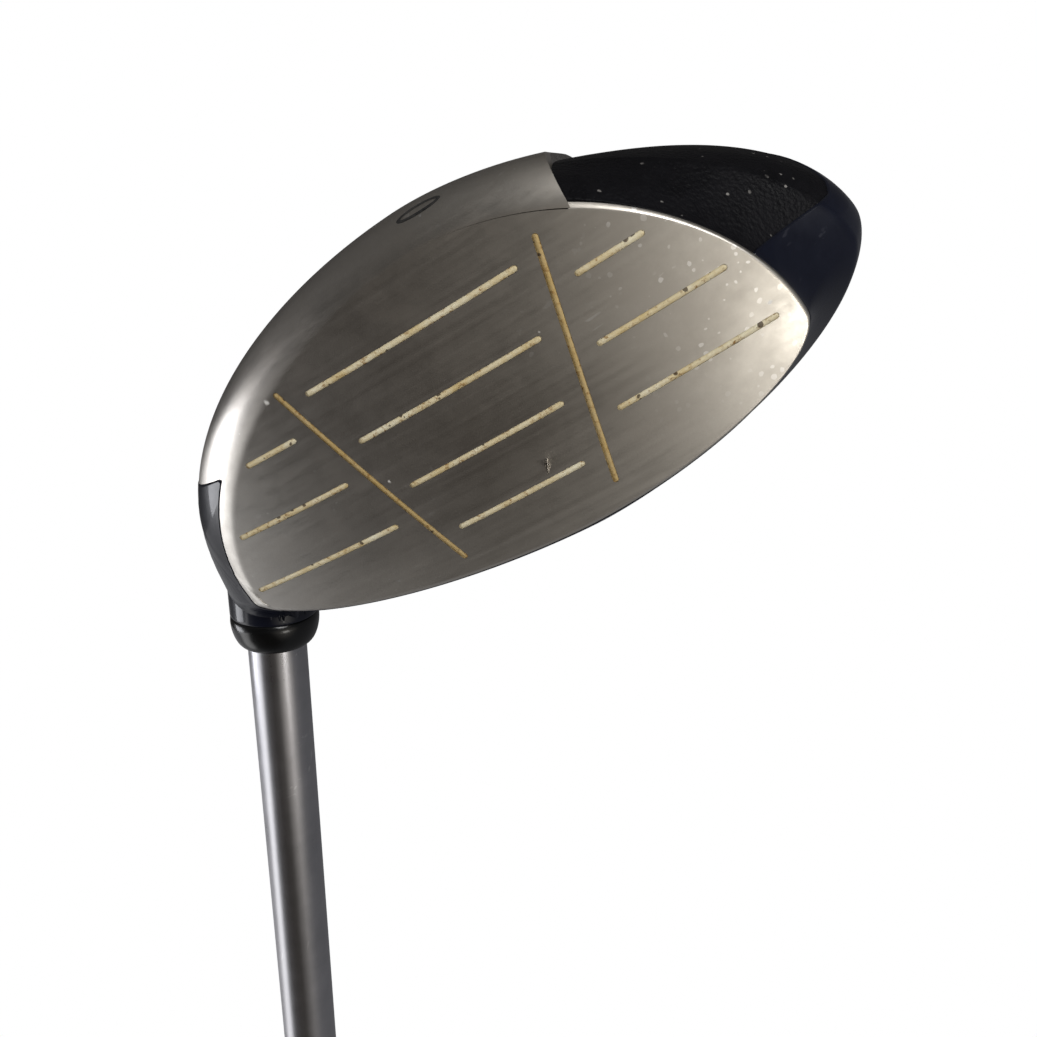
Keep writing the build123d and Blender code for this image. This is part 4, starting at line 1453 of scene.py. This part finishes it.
def make_pip_tree(material):
    """Small oval pips in staggered rings round a tapering sleeve that stands on z."""
    tree = bpy.data.node_groups.new("grip pips", "GeometryNodeTree")
    sockets = {}
    labels = (
        ("Start", 0.0), ("Length", 0.2), ("Start radius", 0.009), ("End radius", 0.013), (
            "Pip size", 0.0009
        )
    )
    for label, value in labels:
        socket = tree.interface.new_socket(label, in_out="INPUT", socket_type="NodeSocketFloat")
        socket.default_value = value
        sockets[label] = socket.identifier
    for label, value in (("Rings", 40), ("Pips in a ring", 20)):
        socket = tree.interface.new_socket(label, in_out="INPUT", socket_type="NodeSocketInt")
        socket.default_value = value
        sockets[label] = socket.identifier
    tree.interface.new_socket("Geometry", in_out="OUTPUT", socket_type="NodeSocketGeometry")
    given = tree.nodes.new("NodeGroupInput")
    out = tree.nodes.new("NodeGroupOutput")
    total = math_node(tree, "MULTIPLY", given.outputs["Rings"], given.outputs["Pips in a ring"])
    points = add_node(tree, "GeometryNodePoints", {"Count": total})
    index = add_node(tree, "GeometryNodeInputIndex").outputs[0]
    ring = math_node(tree, "FLOOR", math_node(tree, "DIVIDE", index, given.outputs["Pips in a ring"]))
    number = math_node(tree, "MODULO", index, given.outputs["Pips in a ring"])
    stagger = math_node(tree, "MULTIPLY", math_node(tree, "MODULO", ring, 2.0), 0.5)
    turn = math_node(
        tree, "DIVIDE", math_node(tree, "ADD", number, stagger), given.outputs["Pips in a ring"]
    )
    turn = math_node(tree, "MULTIPLY", turn, tau)
    share = math_node(tree, "DIVIDE", ring, given.outputs["Rings"])
    station = math_node(tree, "MULTIPLY_ADD", share, given.outputs["Length"], given.outputs["Start"])
    grow = math_node(tree, "SUBTRACT", given.outputs["End radius"], given.outputs["Start radius"])
    radius = math_node(tree, "MULTIPLY_ADD", share, grow, given.outputs["Start radius"])
    x = math_node(tree, "MULTIPLY", radius, math_node(tree, "COSINE", turn))
    y = math_node(tree, "MULTIPLY", radius, math_node(tree, "SINE", turn))
    spot = add_node(tree, "ShaderNodeCombineXYZ", {0: x, 1: y, 2: station})
    moved = add_node(
        tree, "GeometryNodeSetPosition", {"Geometry": points.outputs[0], "Position": spot.outputs[0]}
    )
    ball = add_node(
        tree, "GeometryNodeMeshUVSphere", {"Segments": 8, "Rings": 5, "Radius": given.outputs["Pip size"]}
    )
    lean = add_node(tree, "ShaderNodeCombineXYZ", {2: turn})
    stretch = add_node(tree, "ShaderNodeCombineXYZ", {0: 0.45, 1: 0.8, 2: 1.5})
    spread = add_node(
        tree, "GeometryNodeInstanceOnPoints",
        {
            "Points": moved.outputs[0], "Instance": ball.outputs[0],
            "Rotation": lean.outputs[0], "Scale": stretch.outputs[0],
        },
    )
    real = add_node(tree, "GeometryNodeRealizeInstances", {0: spread.outputs[0]})
    painted = add_node(tree, "GeometryNodeSetMaterial", {0: real.outputs[0], "Material": material})
    tree.links.new(painted.outputs[0], out.inputs[0])
    return tree, sockets


pip_tree, pip_sockets = make_pip_tree(GRIP_RUBBER)
grip_pips = link("grip_pips", bpy.data.meshes.new("grip_pips"))
pip_start = grip_mouth + 14
pip_end = cap_start - 6
run_tree(grip_pips, pip_tree, {
    pip_sockets["Start"]: pip_start * MM,
    pip_sockets["Length"]: (pip_end - pip_start) * MM,
    pip_sockets["Start radius"]: float(grip_radius(pip_start)) * MM,
    pip_sockets["End radius"]: float(grip_radius(pip_end)) * MM,
    pip_sockets["Pip size"]: 0.9 * MM,
    pip_sockets["Rings"]: 56,
    pip_sockets["Pips in a ring"]: 18,
})
SHAFT_MATRIX = Matrix((
    (SHAFT_X[0], SHAFT_Y[0], SHAFT_Z[0], SHAFT_FOOT[0] * MM),
    (SHAFT_X[1], SHAFT_Y[1], SHAFT_Z[1], SHAFT_FOOT[1] * MM),
    (SHAFT_X[2], SHAFT_Y[2], SHAFT_Z[2], SHAFT_FOOT[2] * MM),
    (0, 0, 0, 1),
))
grip_pips.data.transform(SHAFT_MATRIX)
grip_pips.data.shade_smooth()
place(grip_pips, "grip_rubber", GRIP_RUBBER)

# ================================================================================================
# Frame nodes that stay visible, with finishes of their own
# ================================================================================================
CARRIED = {
    "foam_core": FOAM,
    "tip_weight": WEIGHT_BRASS,
    "hosel_bond": BOND_RESIN,
    "grip_tape": TAPE,
}
for node, material in CARRIED.items():
    for carried in bpy.data.objects:
        if carried.name == node:
            for material_slot in carried.material_slots:
                material_slot.material = material

# ================================================================================================
# Floor, light and camera
# ================================================================================================

def make_floor():
    mesh = bpy.data.meshes.new("floor")
    half = 6.0
    corners = [(-half, -half), (half, -half), (half, half), (-half, half)]
    mesh.from_pydata([(x, y, -FLOOR_DROP) for x, y in corners], [], [(0, 1, 2, 3)])
    floor = link("floor", mesh)
    material, tree, shader = new_material("floor paper", roughness=0.9)
    shader.inputs["Base Color"].default_value = (0.25, 0.25, 0.25, 1)
    white = add_node(tree, "ShaderNodeEmission", {"Color": (1, 1, 1, 1), "Strength": 1.0})
    ray = add_node(tree, "ShaderNodeLightPath").outputs["Is Camera Ray"]
    seen = add_node(tree, "ShaderNodeMixShader", {0: ray, 1: shader.outputs[0], 2: white.outputs[0]})
    tree.links.new(seen.outputs[0], tree.nodes["Material Output"].inputs["Surface"])
    mesh.materials.append(material)


# Each patch of the surroundings: where it is, where its edge starts, where it is full, and its colour.
SURROUNDINGS = (
    ((-0.28, 0.80, 0.52), 0.70, 0.97, (0.050, 0.044, 0.038)),
    ((0.52, 0.66, 0.55), 0.84, 0.985, (0.62, 0.58, 0.52)),
    ((-0.95, -0.20, 0.10), 0.70, 0.97, (0.42, 0.42, 0.43)),
    ((-0.94, 0.20, 0.27), 0.965, 0.992, (1.7, 1.7, 1.7)),
    ((-0.95, 0.33, 0.02), 0.960, 0.990, (2.1, 2.1, 2.1)),
    ((-0.86, 0.47, -0.18), 0.960, 0.990, (2.6, 2.6, 2.6)),
    ((-0.72, 0.51, -0.47), 0.955, 0.988, (2.8, 2.8, 2.8)),
    ((-0.46, 0.62, -0.64), 0.955, 0.988, (2.6, 2.6, 2.6)),
)


def make_world():
    """Grey surroundings with dim and bright patches to mirror, and plain white behind the club."""
    world = bpy.data.worlds.new("studio")
    bpy.context.scene.world = world
    world.use_nodes = True
    tree = world.node_tree
    background = tree.nodes["Background"]
    direction = add_node(tree, "ShaderNodeTexCoord").outputs["Generated"]

    def lobe(axis, low, high):
        unit = Vector(axis).normalized()
        along = add_node(
            tree, "ShaderNodeVectorMath", {0: direction, 1: tuple(unit)}, operation="DOT_PRODUCT"
        )
        return between(tree, along.outputs["Value"], low, high)

    colour = mix_colour(tree, lobe((0.0, 0.0, 1.0), -0.4, 1.0), (0.10, 0.10, 0.105), (0.16, 0.16, 0.165))
    for axis, low, high, shade in SURROUNDINGS:
        colour = mix_colour(tree, lobe(axis, low, high), colour, shade)
    ray = add_node(tree, "ShaderNodeLightPath").outputs["Is Camera Ray"]
    colour = mix_colour(tree, ray, colour, (1.0, 1.0, 1.0))
    tree.links.new(colour, background.inputs["Color"])
    background.inputs["Strength"].default_value = 1.0


def area_light(name, position, aim, size, power, colour=(1, 1, 1), length=None):
    light = bpy.data.lights.new(name, "AREA")
    light.shape = "RECTANGLE"
    light.size = size
    light.size_y = length or size
    light.energy = power
    light.color = colour
    lamp = bpy.data.objects.new(name, light)
    bpy.context.scene.collection.objects.link(lamp)
    lamp.location = position
    lamp.rotation_euler = (Vector(aim) - Vector(position)).to_track_quat("-Z", "Y").to_euler()


# The camera looks up at the sole, with the club head upside down in its view.
CAMERA_LENS = 33.92
CAMERA_SENSOR = 36.0
CAMERA_POINT = (0.03516, 0.1138, 0.0160)
CAMERA_RIGHT = (0.8451, -0.1909, 0.4994)
CAMERA_FORWARD = (-0.3148, -0.9327, 0.1762)


def make_camera():
    camera = bpy.data.cameras.new("camera")
    camera.lens = CAMERA_LENS
    camera.sensor_width = CAMERA_SENSOR
    camera.clip_start = 0.01
    camera.clip_end = 50.0
    seen_by = bpy.data.objects.new("camera", camera)
    bpy.context.scene.collection.objects.link(seen_by)
    right = Vector(CAMERA_RIGHT).normalized()
    forward = Vector(CAMERA_FORWARD).normalized()
    up = right.cross(forward).normalized()
    right = forward.cross(up).normalized()
    columns = Matrix((right, up, -forward)).transposed()
    seen_by.matrix_world = Matrix.Translation(CAMERA_POINT) @ columns.to_4x4()
    bpy.context.scene.camera = seen_by


make_floor()
make_world()
HEAD_MIDDLE = (0.0, -0.01, 0.02)
area_light("toe light", (0.30, 0.42, 0.45), HEAD_MIDDLE, 0.16, 0.5, (1.0, 0.97, 0.92))
area_light("key light", (0.42, 0.34, -0.10), HEAD_MIDDLE, 0.22, 1.6)
area_light("heel light", (-0.50, 0.10, -0.10), HEAD_MIDDLE, 0.20, 0.8, (0.95, 0.96, 1.0))
make_camera()

scene = bpy.context.scene
scene.view_settings.view_transform = "Standard"
scene.view_settings.look = "None"
scene.view_settings.exposure = 0.0
